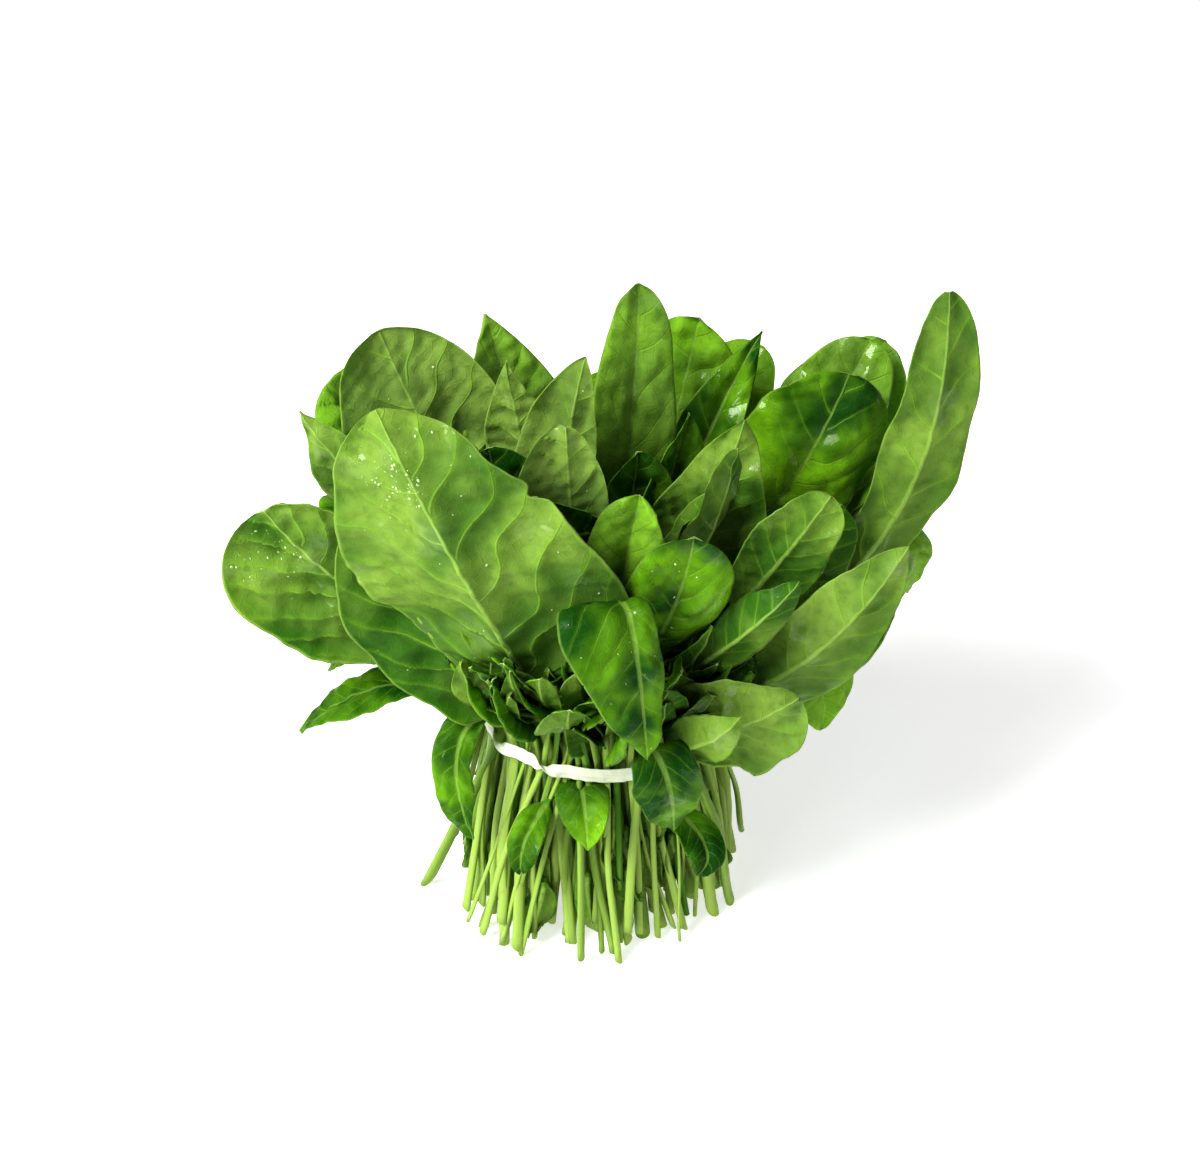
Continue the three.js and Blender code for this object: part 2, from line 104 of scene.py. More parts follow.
LEAF_ROWS = (
    ("front_left_leaf_1", (-76, -50, 243), (-35, -92, 162), 132, 84, (350, 5), 6, -14, Outline.BROAD, 0.5, 1.6),
    ("front_left_leaf_2", (-86, -32, 190), (-62, -54, 132), 106, 54, (0, 45), 8, -20, Outline.OVAL, -1, 1.8),
    ("front_left_leaf_3", (-108, -2, 100), (-90, 2, 134), 60, 36, (290, 20), 8, -20, Outline.SPADE, -0.2, 1.8),
    ("left_leaf_1", (-122, -28, 190), (-92, -26, 140), 92, 76, (350, 42), -6, -30, Outline.ROUND, 0.2, 2.4),
    ("left_leaf_2", (-118, -22, 84), (-90, -24, 122), 62, 32, (265, 0), 12, -10, Outline.SPADE, -0.5, 1.2),
    ("left_leaf_3", (-110, -4, 218), (-76, -20, 168), 76, 40, (330, 40), 12, -10, Outline.POINTED, 0.6, 2.2),
    ("left_leaf_4", (-104, 32, 212), (-66, 24, 176), 84, 52, (232, 0), 8, -16, Outline.ROUND, 0.7, 1.8),
    ("left_leaf_5", (-81, 12, 243), (-58, 4, 180), 118, 66, (10, 10), 10, -16, Outline.OVAL, 1, 2.1),
    ("back_left_leaf_1", (-43, 32, 240), (-29, 26, 190), 104, 48, (200, 0), 14, -10, Outline.POINTED, 1, 1.2),
    ("centre_left_leaf_1", (-34, -4, 238), (-28, -6, 186), 88, 38, (345, 0), 14, -8, Outline.POINTED, 0.95, 1.5),
    ("centre_left_leaf_2", (-5, -10, 243), (-20, -18, 192), 100, 44, (342, 0), 8, -12, Outline.SPADE, 0.9, 1.8),
    ("centre_left_leaf_3", (-12, -32, 226), (-10, -38, 176), 82, 46, (0, 0), 6, -20, Outline.ROUND, 1, 2.1),
    ("centre_left_leaf_4", (-40, -24, 214), (-32, -30, 160), 84, 42, (190, 0), 16, -10, Outline.OVAL, -0.8, 1.2),
    ("centre_leaf_1", (14, 18, 259), (14, 16, 200), 114, 32, (190, 0), 22, -10, Outline.OVAL, 0.9, 1.5),
    ("centre_leaf_2", (38, 42, 234), (28, 32, 184), 98, 46, (155, 0), 8, -16, Outline.ROUND, 0.55, 1.8),
    ("centre_leaf_3", (62, 64, 213), (40, 48, 174), 84, 40, (150, 0), 8, -16, Outline.ROUND, 0.5, 2.1),
    ("centre_leaf_4", (61, 30, 234), (34, 24, 186), 92, 30, (170, 0), 34, -10, Outline.POINTED, -0.4, 1.2),
    ("centre_leaf_5", (33, 2, 214), (20, -2, 166), 82, 38, (212, 0), 26, -8, Outline.SPADE, -1.2, 1.5),
    ("centre_leaf_6", (14, -10, 204), (10, -8, 162), 76, 36, (200, 0), 22, -8, Outline.OVAL, -0.3, 1.8),
    ("centre_right_leaf_1", (52, -18, 222), (38, -26, 170), 86, 44, (342, 0), 10, -10, Outline.POINTED, 0.4, 2.1),
    ("centre_right_leaf_2", (48, -32, 218), (42, -38, 166), 84, 24, (50, 0), 20, -10, Outline.STRAP, 0, 1.2),
    ("front_leaf_1", (14, -44, 206), (6, -48, 158), 62, 34, (165, 0), 26, -10, Outline.OVAL, 0.7, 1.5),
    ("front_leaf_2", (33, -56, 196), (26, -60, 150), 66, 38, (182, 0), 14, -16, Outline.ROUND, -0.6, 1.8),
    ("front_leaf_3", (17, -82, 118), (8, -98, 250), 82, 40, (15, 0), 8, -14, Outline.SPADE, -1, 2.1),
    ("front_right_leaf_1", (82, -38, 202), (56, -44, 158), 64, 32, (0, -45), 8, -12, Outline.OVAL, 0.25, 1.2),
    ("front_right_leaf_2", (70, -60, 180), (46, -68, 146), 60, 22, (0, -60), 16, -14, Outline.OVAL, -0.25, 2.4),
    ("front_right_leaf_3", (110, -46, 186), (72, -66, 118), 100, 38, (0, -45), 10, -12, Outline.POINTED, 0.6, 1.8),
    ("front_right_leaf_4", (72, -66, 134), (40, -72, 108), 68, 46, (0, -63), 8, -18, Outline.OVAL, 0.6, 2.2),
    ("front_right_leaf_5", (50, -78, 134), (32, -80, 106), 46, 22, (0, -55), 20, -10, Outline.SPADE, 0.3, 1.2),
    ("right_leaf_1", (125, 6, 261), (136, -14, 124), 130, 35, (10, 0), 8, -10, Outline.STRAP, 0.5, 1.2),
    ("right_leaf_2", (92, 10, 226), (74, 2, 170), 92, 56, (182, 0), 10, -16, Outline.ROUND, -0.25, 4.5),
    ("right_leaf_3", (105, 50, 221), (88, 40, 174), 88, 40, (166, 0), 8, -16, Outline.ROUND, 0.95, 2.5),
    ("right_leaf_4", (114, 68, 212), (96, 60, 164), 84, 40, (140, 0), 10, -16, Outline.ROUND, 0.8, 1.2),
    ("right_leaf_5", (136, 26, 214), (121, 24, 176), 84, 26, (100, 0), 20, -10, Outline.OVAL, 0, 1.5),
    ("right_leaf_6", (131, 34, 186), (112, 36, 144), 60, 30, (80, 0), 14, -10, Outline.ROUND, -0.6, 1.8),
    ("right_leaf_7", (124, 16, 125), (134, 0, 192), 38, 28, (60, 0), 8, -14, Outline.SPADE, 0.7, 2.1),
    ("right_leaf_8", (86, -30, 92), (94, -34, 144), 54, 34, (30, 0), 8, -10, Outline.SPADE, 0.5, 1.2),
    ("low_leaf_1", (-50, -46, 50), (-72, -42, 120), 62, 30, (330, 0), 12, -10, Outline.OVAL, -0.5, 1.5),
    ("low_leaf_2", (28, -66, 72), (26, -94, 140), 48, 22, (10, 0), 10, -10, Outline.SPADE, -0.8, 1.8),
    ("low_leaf_3", (-30, -62, 48), (-38, -76, 108), 32, 22, (340, 0), 10, -10, Outline.ROUND, -0.3, 2.1),
    ("low_leaf_4", (-5, -64, 60), (-4, -90, 112), 36, 22, (0, 0), 10, -10, Outline.POINTED, 0.2, 1.2),
    ("low_leaf_5", (38, -58, 42), (58, -66, 100), 34, 22, (20, 0), 10, -10, Outline.ROUND, -0.5, 1.5),
    ("back_leaf_1", (6, 98, 184), (6, 66, 158), 74, 46, (180, 0), 8, -14, Outline.OVAL, 0.24, 1.8),
    ("back_leaf_2", (-46, 92, 187), (-28, 62, 160), 70, 38, (206, 0), 8, -14, Outline.OVAL, -0.12, 2.1),
    ("back_leaf_3", (-92, 64, 200), (-58, 44, 164), 82, 44, (230, 0), 8, -14, Outline.ROUND, 0.12, 1.2),
    ("back_leaf_4", (60, 96, 186), (36, 66, 164), 80, 46, (150, 0), 8, -14, Outline.SPADE, -0.24, 1.5),
    ("back_leaf_5", (-10, 112, 158), (-8, 84, 166), 96, 58, (186, 0), 8, -14, Outline.OVAL, 0, 1.8),
    ("back_leaf_6", (-60, 102, 142), (-42, 78, 160), 90, 52, (208, 0), 8, -14, Outline.SPADE, 0.24, 2.1),
    ("back_leaf_7", (-112, 52, 150), (-84, 36, 158), 88, 48, (242, 0), 8, -14, Outline.OVAL, -0.12, 1.2),
    ("back_leaf_8", (42, 108, 132), (34, 82, 158), 86, 50, (160, 0), 8, -14, Outline.OVAL, 0.12, 1.5),
    ("back_leaf_9", (78, 90, 150), (54, 72, 158), 90, 50, (138, 0), 8, -14, Outline.ROUND, -0.24, 1.8),
    ("back_leaf_10", (-16, 52, 204), (-12, 38, 168), 84, 44, (190, 0), 10, -14, Outline.OVAL, 0, 2.1),
    ("back_leaf_11", (-64, 50, 210), (-42, 36, 174), 90, 46, (215, 0), 10, -14, Outline.SPADE, 0.24, 1.2),
    ("back_leaf_12", (10, 74, 194), (4, 54, 162), 84, 44, (180, 0), 10, -14, Outline.ROUND, -0.12, 1.5),
    ("back_low_leaf_1", (4, 98, 84), (4, 86, 146), 70, 40, (180, 0), 8, -14, Outline.SPADE, 0.12, 1.8),
    ("back_low_leaf_2", (-100, 34, 92), (-86, 30, 140), 68, 38, (255, 0), 8, -14, Outline.OVAL, -0.24, 2.1),
    ("back_low_leaf_3", (88, 66, 94), (80, 60, 140), 64, 36, (128, 0), 8, -14, Outline.OVAL, 0, 1.2),
    ("back_low_leaf_4", (-62, 76, 90), (-56, 66, 138), 62, 34, (215, 0), 8, -14, Outline.OVAL, 0.24, 1.5),
)
LEAF_PLANS = tuple(LeafPlan(*row) for row in LEAF_ROWS)


def smooth(x: np.ndarray, low: float, high: float) -> np.ndarray:
    """Smooth step: 0 below low, 1 above high, and 3t^2 - 2t^3 between them."""
    t = np.clip((x - low) / (high - low), 0.0, 1.0)
    return t * t * (3.0 - 2.0 * t)


def unit(vectors: np.ndarray) -> np.ndarray:
    """Vectors scaled to length one along their last axis."""
    return vectors / np.linalg.norm(vectors, axis=-1, keepdims=True)


@dataclass(frozen=True)
class Ripple:
    """A smooth random height over two coordinates: a sum of plane waves with seeded directions.

    Attributes:
        seed: picks the directions and phases.
        wavelength: the middle of the waves' lengths.
        count: how many waves are summed.
        shortest, longest: the range of the waves' lengths, against the middle one.
    """

    seed: int
    wavelength: float
    count: int = 9
    shortest: float = 0.6
    longest: float = 1.7

    def at(self, x: np.ndarray, y: np.ndarray) -> np.ndarray:
        """The sum of cos(k . (x, y) + phase) over the waves, divided by the square root of half their number.

        Args:
            x, y: coordinates, in any shapes that broadcast together.

        Returns:
            Heights of about -2 to 2.
        """
        rng = np.random.default_rng(self.seed)
        angle = rng.uniform(0.0, FULL_TURN, self.count)
        length = self.wavelength * rng.uniform(self.shortest, self.longest, self.count)
        phase = rng.uniform(0.0, FULL_TURN, self.count)
        k = FULL_TURN / length
        x, y = np.broadcast_arrays(x, y)
        waves = np.cos(x[..., None] * (k * np.cos(angle)) + y[..., None] * (k * np.sin(angle)) + phase)
        return waves.sum(axis=-1) / math.sqrt(self.count / 2.0)


@dataclass
class Skin:
    """A closed surface being put together: points, faces and the values that its finish reads.

    Attributes:
        points: one row a vertex, in millimetres from the bunch's own origin.
        quads, triangles: rows of vertex indices, wound to face outwards.
        values: a name and one row of three numbers a vertex.
    """

    points: np.ndarray
    quads: np.ndarray
    triangles: np.ndarray
    values: dict[str, np.ndarray] = field(default_factory=dict)

    @staticmethod
    def joined(skins: list["Skin"]) -> "Skin":
        """Several skins in one, with their indices moved up in turn.

        Args:
            skins: the skins, which all carry the same values.

        Returns:
            The one skin.
        """
        starts = np.cumsum([0] + [len(s.points) for s in skins[:-1]])
        names = skins[0].values
        return Skin(
            np.concatenate([s.points for s in skins]),
            np.concatenate([s.quads + k for s, k in zip(skins, starts)]),
            np.concatenate([s.triangles + k for s, k in zip(skins, starts)]),
            {n: np.concatenate([s.values[n] for s in skins]) for n in names},
        )

    @staticmethod
    def tube(
        rings: np.ndarray,
        maps: dict[str, list[np.ndarray]] | None = None,
        flat: dict[str, tuple[float, float, float]] | None = None,
    ) -> "Skin":
        """A tube of rings, closed at each end by a fan to the middle of its last ring.

        Args:
            rings: points, by ring and place in the ring.
            maps: values by name: three arrays of one number a point.
            flat: values that are the same all over, by name.

        Returns:
            The skin; its two middle points take the values of their rings' first points.
        """
        stations, around = rings.shape[:2]
        ends = np.stack([rings[0].mean(axis=0), rings[-1].mean(axis=0)])
        values = {}
        for name, three in (maps or {}).items():
            rows = np.stack(three, axis=-1)
            values[name] = np.concatenate([rows.reshape(-1, 3), rows[0, :1], rows[-1, :1]])
        for name, row in (flat or {}).items():
            values[name] = np.tile(np.array(row), (stations * around + len(ends), 1))
        return Skin(np.concatenate([rings.reshape(-1, 3), ends]), *tube_faces(stations, around), values)

    def piece(self, name: str, flat_ends: bool = True) -> bpy.types.Object:
        """Makes the Blender object, its place in its mesh, riding on the bunch.

        Args:
            name: the object's name.
            flat_ends: whether the triangles are cut ends, which are shaded flat and take the second finish.

        Returns:
            The linked object.
        """
        mesh = bpy.data.meshes.new(name)
        corners = np.concatenate([self.quads.ravel(), self.triangles.ravel()]).astype(np.int32)
        sizes = np.concatenate([np.full(len(self.quads), 4), np.full(len(self.triangles), 3)])
        starts = np.concatenate([[0], np.cumsum(sizes)[:-1]]).astype(np.int32)
        mesh.vertices.add(len(self.points))
        mesh.loops.add(len(corners))
        mesh.polygons.add(len(sizes))
        place = (self.points - MIDDLE) * MM
        mesh.vertices.foreach_set("co", place.astype(np.float32).ravel())
        mesh.loops.foreach_set("vertex_index", corners)
        mesh.polygons.foreach_set("loop_start", starts)
        is_end = (sizes == 3) & flat_ends
        mesh.polygons.foreach_set("use_smooth", ~is_end)
        mesh.polygons.foreach_set("material_index", is_end.astype(np.int32))
        mesh.update(calc_edges=True)
        for label, rows in self.values.items():
            layer = mesh.attributes.new(label, "FLOAT_VECTOR", "POINT")
            layer.data.foreach_set("vector", rows.astype(np.float32).ravel())
        mesh.validate()
        made = bpy.data.objects.new(name, mesh)
        bpy.context.scene.collection.objects.link(made)
        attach(made, "root")
        return made


def tube_faces(stations: int, around: int) -> tuple[np.ndarray, np.ndarray]:
    """Faces of a tube of rings, station after station, with a fan at each end to a point in its middle.

    The rings come first, then the two middle points, that of the first ring and that of the last.

    Args:
        stations: the number of rings.
        around: points in each ring.

    Returns:
        Quads between the rings and triangles of the two ends, facing outwards.
    """
    k = np.arange(stations - 1)[:, None] * around
    i = np.arange(around)[None, :]
    after = (i + 1) % around
    quads = np.stack([k + i, k + after, k + around + after, k + around + i], axis=-1).reshape(-1, 4)
    ring = np.arange(around)
    turned = (ring + 1) % around
    last = (stations - 1) * around
    middle = stations * around
    start = np.stack([np.full(around, middle), turned, ring], axis=-1)
    end = np.stack([np.full(around, middle + 1), last + ring, last + turned], axis=-1)
    return quads, np.concatenate([start, end])


@dataclass
class Spine:
    """The middle line of a stalk and its blade: straight from the foot to the tie, then one cubic curve.

    Attributes:
        foot, waist, elbow, tip: its four points.
        steps: how finely the curve is measured.
    """

    foot: np.ndarray
    waist: np.ndarray
    elbow: np.ndarray
    tip: np.ndarray
    steps: int = 400

    def __post_init__(self) -> None:
        """Measures the curve once, so that it can be walked by length."""
        self.along = unit(self.waist - self.foot)
        rise = STALK_RISE * np.linalg.norm(self.elbow - self.waist)
        self.hold = np.stack([self.waist, self.waist + self.along * rise, self.elbow, self.tip])
        self.share = np.linspace(0.0, 1.0, self.steps)
        run = np.linalg.norm(np.diff(self._curve(self.share), axis=0), axis=1)
        self.walked = np.concatenate([[0.0], np.cumsum(run)])
        self.straight = float(np.linalg.norm(self.waist - self.foot))
        self.curved = float(self.walked[-1])

    def _curve(self, u: np.ndarray) -> np.ndarray:
        """The cubic Bezier curve of the four holding points.

        Args:
            u: shares of the way along it.

        Returns:
            Its points, one row each.
        """
        u = u[:, None]
        v = 1.0 - u
        a, b, c, d = self.hold
        return v**3 * a + 3 * v * v * u * b + 3 * v * u * u * c + u**3 * d

    def at(self, arc: np.ndarray) -> tuple[np.ndarray, np.ndarray]:
        """Points and unit directions at lengths from the foot.

        Args:
            arc: lengths along the line.

        Returns:
            Points and directions, one row each.
        """
        u = np.interp(arc - self.straight, self.walked, self.share)
        below = (arc < self.straight)[:, None]
        points = np.where(below, self.foot + self.along * arc[:, None], self._curve(u))
        a, b, c, d = self.hold
        w, v = u[:, None], 1.0 - u[:, None]
        slope = v * v * (b - a) + 2 * v * w * (c - b) + w * w * (d - c)
        return points, np.where(below, self.along, unit(slope))


def dress(made: bpy.types.Object, *finishes: bpy.types.Material) -> None:
    """Gives a piece its finishes and reports it.

    Args:
        made: the piece.
        finishes: in the order of its faces' material numbers.
    """
    for finish in finishes:
        made.data.materials.append(finish)
    LOG.info("%s: %d faces", made.name, len(made.data.polygons))


def stalk_places(plans: tuple[LeafPlan, ...]) -> np.ndarray:
    """Where the stalks pass through the tie: a sunflower's even spacing, swapped until no two stalks cross.

    Args:
        plans: the leaves, in order.

    Returns:
        One x, y row a leaf.
    """
    order = np.arange(len(plans))
    radius = BUNDLE_RADIUS * np.sqrt((order + 0.5) / len(plans))
    angle = order * GOLDEN_ANGLE
    places = np.stack([radius * np.cos(angle), radius * np.sin(angle)], axis=-1)
    leans = np.array([plan.elbow[:2] for plan in plans], dtype=float)
    crossed = True
    while crossed:
        crossed = False
        for i in range(len(plans)):
            for j in range(i + 1, len(plans)):
                if np.dot(leans[i] - leans[j], places[i] - places[j]) < 0:
                    places[[i, j]] = places[[j, i]]
                    crossed = True
    return places


@dataclass(frozen=True)
class Half:
    """The outline of one half of a blade: t^base (1 - t)^tip.

    Attributes:
        base, tip: the two powers.
        share: its widest place, as a share of the whole blade's width.
    """

    base: float
    tip: float
    share: float = 0.5


@dataclass(frozen=True)
class Habit:
    """What sets one leaf apart from the common shape.

    Attributes:
        first, second: its halves, where they differ from its outline.
        notch: where on the first half's margin a nick is, as a share of the length, or nothing.
        pillow: how far it swells between its veins, as a share of its half width.
        more_fold, more_curl: degrees added to the plan's fold and curl.
        stalk: its stalk's thickness, against the common one.
        sprouts: the height at which it leaves the bundle.
        elbow: the point it bends towards, if it leaves the bundle below the tie.
    """

    first: Half | None = None
    second: Half | None = None
    notch: float = 0.0
    pillow: float = 0.08
    more_fold: float = 0.0
    more_curl: float = 0.0
    stalk: float = 1.0
    sprouts: float = TIE_HEIGHT
    elbow: tuple[float, float, float] | None = None


HABITS = {
    "front_left_leaf_1": Habit(Half(0.17, 0.62, 0.58), Half(0.52, 0.50, 0.56), 0.62, 0.070, 17.0, 0.0),
    "front_left_leaf_2": Habit(pillow=0.15, more_fold=2.0),
    "left_leaf_1": Habit(pillow=0.13, more_fold=8.0),
    "front_leaf_3": Habit(Half(0.45, 0.60, 0.22), Half(0.26, 0.85, 0.60), 0.0, 0.09),
    "front_right_leaf_3": Habit(Half(0.34, 0.72, 0.56), Half(0.34, 0.72, 0.60), more_fold=8.0, more_curl=6.0),
    "right_leaf_1": Habit(Half(0.50, 0.50, 0.52), Half(0.50, 0.50, 0.46), more_fold=12.0, more_curl=-6.0),
    "centre_left_leaf_2": Habit(Half(0.40, 0.70, 0.30), Half(0.40, 0.70, 0.50)),
    "centre_leaf_1": Habit(pillow=0.07, more_curl=-14.0),
    "centre_leaf_2": Habit(pillow=0.10),
    "front_right_leaf_2": Habit(Half(0.45, 0.55, 0.46), Half(0.45, 0.55, 0.46), 0.0, 0.045, 14.0, -10.0),
    "front_leaf_1": Habit(more_fold=10.0, more_curl=-14.0),
    "front_leaf_2": Habit(pillow=0.07, more_fold=4.0, more_curl=-22.0),
    "right_leaf_2": Habit(pillow=0.07, more_curl=-26.0),
    "centre_left_leaf_3": Habit(Half(0.50, 0.45, 0.32), Half(0.50, 0.45, 0.50), more_curl=-18.0),
    "left_leaf_5": Habit(pillow=0.07, more_curl=-16.0),
    "low_leaf_1": Habit(Half(0.45, 0.60, 0.24), Half(0.45, 0.60, 0.34), 0.0, pillow=0.16, stalk=0.6),
    "low_leaf_2": Habit(Half(0.30, 0.60, 0.60), Half(0.30, 0.60, 0.62), pillow=0.12, stalk=0.5),
    "low_leaf_3": Habit(
        Half(0.6, 0.5, 0.34), Half(0.5, 0.7, 0.36), pillow=0.16, stalk=0.45, sprouts=62.0, elbow=(-35.0, -67.0, 66.0)
    ),
    "low_leaf_4": Habit(pillow=0.10, stalk=0.45, sprouts=72.0, elbow=(-5.0, -66.0, 80.0)),
    "low_leaf_5": Habit(
        Half(0.5, 0.5, 0.40), Half(0.5, 0.5, 0.44), pillow=0.16, stalk=0.5, sprouts=50.0, elbow=(52.0, -60.0, 54.0)
    ),
}


@dataclass
class Leaf:
    """One leaf, stalk and blade in one closed skin.

    Attributes:
        plan: its place and shape.
        place: where its stalk passes through the tie.
        cut: the height of its cut end.
        seed: for its own small irregularities.
        grain: the spacing of the points over the blade.
        stalk_grain: the spacing of the rings along the stalk.
        blade_thickness: of the blade between its veins.
        rib_at_tip: how far the rib stands out under the blade's tip.
        vein_slope: how far a side vein climbs for each millimetre it goes out.
        vein_pitch: along the rib, between side veins of the same side, as a share of the blade's length.
        habit: what sets it apart.
        crook: how far the stalk wanders between its foot and the tie.
        foot_spread: how much further out its foot stands than its waist.
        opening: the share of the blade over which it opens to its full fold and curl.
        joint: the share of the blade over which the stalk passes into it.
        waver: how unsteady the outline is, as a share of the half width.
        nick_depth, nick_width: of a notch, as shares of the half width and of the length.
        vein_bend: how much more a side vein climbs at the margin.
        swelling: how much a stalk's foot is thicker than its top.
        groove: the depth of the stalk's groove, as a share.
        uneven, roll, blister: height and length of the ripples that make its swellings differ, of the
            long ones over the blade and of the finest ones.
        margin, margin_length: height, against the plan's wave, and length of the ripples at its margin.
    """

    plan: LeafPlan
    place: np.ndarray
    cut: float
    seed: int
    grain: float = 1.25
    stalk_grain: float = 5.0
    blade_thickness: float = 0.5
    rib_at_tip: float = 0.35
    vein_slope: float = 0.8
    vein_pitch: float = 0.15
    habit: Habit = Habit()
    crook: float = 1.3
    foot_spread: float = FOOT_SPREAD
    opening: float = 0.2
    joint: float = 0.10
    waver: float = 0.035
    nick_depth: float = 0.12
    nick_width: float = 0.022
    vein_bend: float = 0.35
    swelling: float = 0.16
    groove: float = 0.45
    uneven: tuple[float, float] = (0.3, 26.0)
    roll: tuple[float, float] = (0.9, 36.0)
    blister: tuple[float, float] = (0.26, 7.5)
    margin: float = 0.6
    margin_length: float = 30.0

    def __post_init__(self) -> None:
        """Lays out the middle line and the rings, which stand closer together near the blade's tip."""
        waist = np.array([*self.place, self.habit.sprouts])
        foot = np.array([*(self.place * self.foot_spread), self.cut])
        elbow = np.array(self.habit.elbow or self.plan.elbow, dtype=float)
        self.spine = Spine(foot, waist, elbow, np.array(self.plan.tip, dtype=float))
        curved, straight = self.spine.curved, self.spine.straight
        self.start = straight + max(0.04, 1.0 - self.plan.length / curved) * curved
        self.length = straight + curved - self.start
        stalk_rings = max(8, round(self.start / self.stalk_grain))
        blade_rings = max(16, round(self.length / self.grain))
        stalk = np.linspace(0.0, self.start, stalk_rings, endpoint=False)
        blade = self.start + self.length * np.linspace(0.0, 1.0, blade_rings) ** 0.92
        self.arc = np.concatenate([stalk, blade])
        self.around = 4 * max(5, round(self.plan.width / self.grain / 2.0))

    def _half_width(self, t: np.ndarray, side: float) -> np.ndarray:
        """Half the blade's width: the outline's power curve, with a small seeded waver.

        Args:
            t: shares of the blade's length.
            side: 1 for the first half, -1 for the second.

        Returns:
            The half widths, in millimetres.
        """
        half = (self.habit.first if side > 0 else self.habit.second) or Half(*self.plan.outline.value)
        widest = half.base / (half.base + half.tip)
        curve = t**half.base * (1.0 - t) ** half.tip / (widest**half.base * (1.0 - widest) ** half.tip)
        waver = Ripple(self.seed + int(7 * side) + 20, 0.45, 5).at(t, 0.0 * t)
        if side > 0 and self.habit.notch:
            nick = np.exp(-(((t - self.habit.notch) / self.nick_width) ** 2))
            curve = curve * (1.0 - self.nick_depth * nick)
        return half.share * self.plan.width * curve * (1.0 + self.waver * waver)

    def _relief(self, x: np.ndarray, s: np.ndarray, q: np.ndarray, phase: np.ndarray) -> np.ndarray:
        """How far the blade is lifted off its plain cross curve, in millimetres.

        The blade swells between its side veins as the root of |sin(pi phase)|, which leaves a narrow
        valley on each vein; it fades at the rib and the margin. Long ripples and finer blisters are
        added, and the margin itself waves with the cube of the way out to it.

        Args:
            x, s: millimetres across from the rib and along from the blade's base.
            q: share of the way out to the margin, negative on the second half.
            phase: the number of the side vein, whole on a vein.

        Returns:
            The lift.
        """
        half = 0.5 * self.plan.width
        swell = np.sqrt(np.abs(np.sin(math.pi * phase)) + 0.004)
        swell = swell * smooth(np.abs(x), 0.5, 0.28 * half) * (1.0 - np.abs(q) ** 5)
        (rough, apart), (high, long), (fine, short) = self.uneven, self.roll, self.blister
        uneven = 0.75 + rough * Ripple(self.seed + 1, apart).at(x, s)
        roll = high * Ripple(self.seed + 2, long).at(x, s) * np.abs(q) ** 0.7
        blister = fine * Ripple(self.seed + 3, short, 12).at(x, s)
        margin = Ripple(self.seed + 4, self.margin_length, 6).at(60.0 * np.sign(q), s) * np.abs(q) ** 3
        lift = self.habit.pillow * half * swell * uneven + roll + blister
        return lift + self.margin * self.plan.wave * margin

    def _frame(self) -> tuple[np.ndarray, np.ndarray, np.ndarray]:
        """The spine's points with the two directions across it: along the spread line, and towards the upper side.

        Returns:
            Points, sideways and upward directions, one row a ring.
        """
        points, tangents = self.spine.at(self.arc)
        azimuth, elevation = (math.radians(a) for a in self.plan.spread)
        line = np.array([
            math.cos(azimuth) * math.cos(elevation),
            math.sin(azimuth) * math.cos(elevation),
            math.sin(elevation),
        ])
        sideways = unit(line - tangents * (tangents @ line)[:, None])
        return points, sideways, np.cross(tangents, sideways)

    def _blade(
        self, t: np.ndarray, q: np.ndarray, sine: np.ndarray
    ) -> tuple[np.ndarray, np.ndarray, np.ndarray, np.ndarray]:
        """The blade's cross section in every ring.

        Each half leaves the rib at the fold's angle and turns by the curl's, so at a share q of the way out
        it has gone (sin(fold + curl q) - sin(fold)) / curl sideways and (cos(fold) - cos(fold + curl q)) /
        curl up, times the half width. The sheet's thickness, the rib below, the channel above and the
        relief are added.

        Args:
            t: shares of the blade's length.
            q: shares of the way out, negative on the second half.
            sine: which side of the sheet a point is on, by its sign.

        Returns:
            Millimetres sideways and up from the spine, millimetres out along the sheet, and vein numbers.
        """
        inside = np.clip(t, 1e-4, 0.998)
        right = np.maximum(self._half_width(inside, 1.0), 0.5)
        left = np.maximum(self._half_width(inside, -1.0), 0.5)
        half = np.where(q >= 0, right, left)
        opened = np.clip(t / self.opening, 0.0, 1.0)
        fold = math.radians(self.plan.fold + self.habit.more_fold) * opened
        curl = math.radians(self.plan.curl + self.habit.more_curl) * opened + 1e-5
        out = (np.sin(fold + curl * np.abs(q)) - np.sin(fold)) / curl
        rise = (np.cos(fold) - np.cos(fold + curl * np.abs(q))) / curl
        x = q * half
        s = t * self.length
        bend = self.vein_slope * np.abs(x) * (1.0 + self.vein_bend * np.abs(q))
        phase = (s - bend) / (self.vein_pitch * self.length) + 0.5 * (q > 0.0)
        phase = phase + 0.14 * Ripple(self.seed + 5, 30.0).at(x, s)
        rib = STALK_HALF_DEPTH * self.habit.stalk
        rib = (rib + (self.rib_at_tip - rib) * np.clip(1.6 * t, 0.0, 1.0)) * 0.8
        rib_width = 0.75 * rib + 0.25
        edge = np.sqrt(np.clip(1.0 - q * q, 0.0, 1.0)) ** 0.5
        sheet = 0.5 * self.blade_thickness * edge * np.sign(sine)
        under = np.where(sine < 0, rib * np.exp(-((x / rib_width) ** 2)), 0.0)
        channel = np.where(sine > 0, 0.25 * rib * np.exp(-((x / (1.6 * rib_width)) ** 2)), 0.0)
        up = half * rise + sheet - under - channel + self._relief(x, s, q, phase) * smooth(t, 0.0, 0.12)
        return np.sign(q) * half * out, up, x, phase

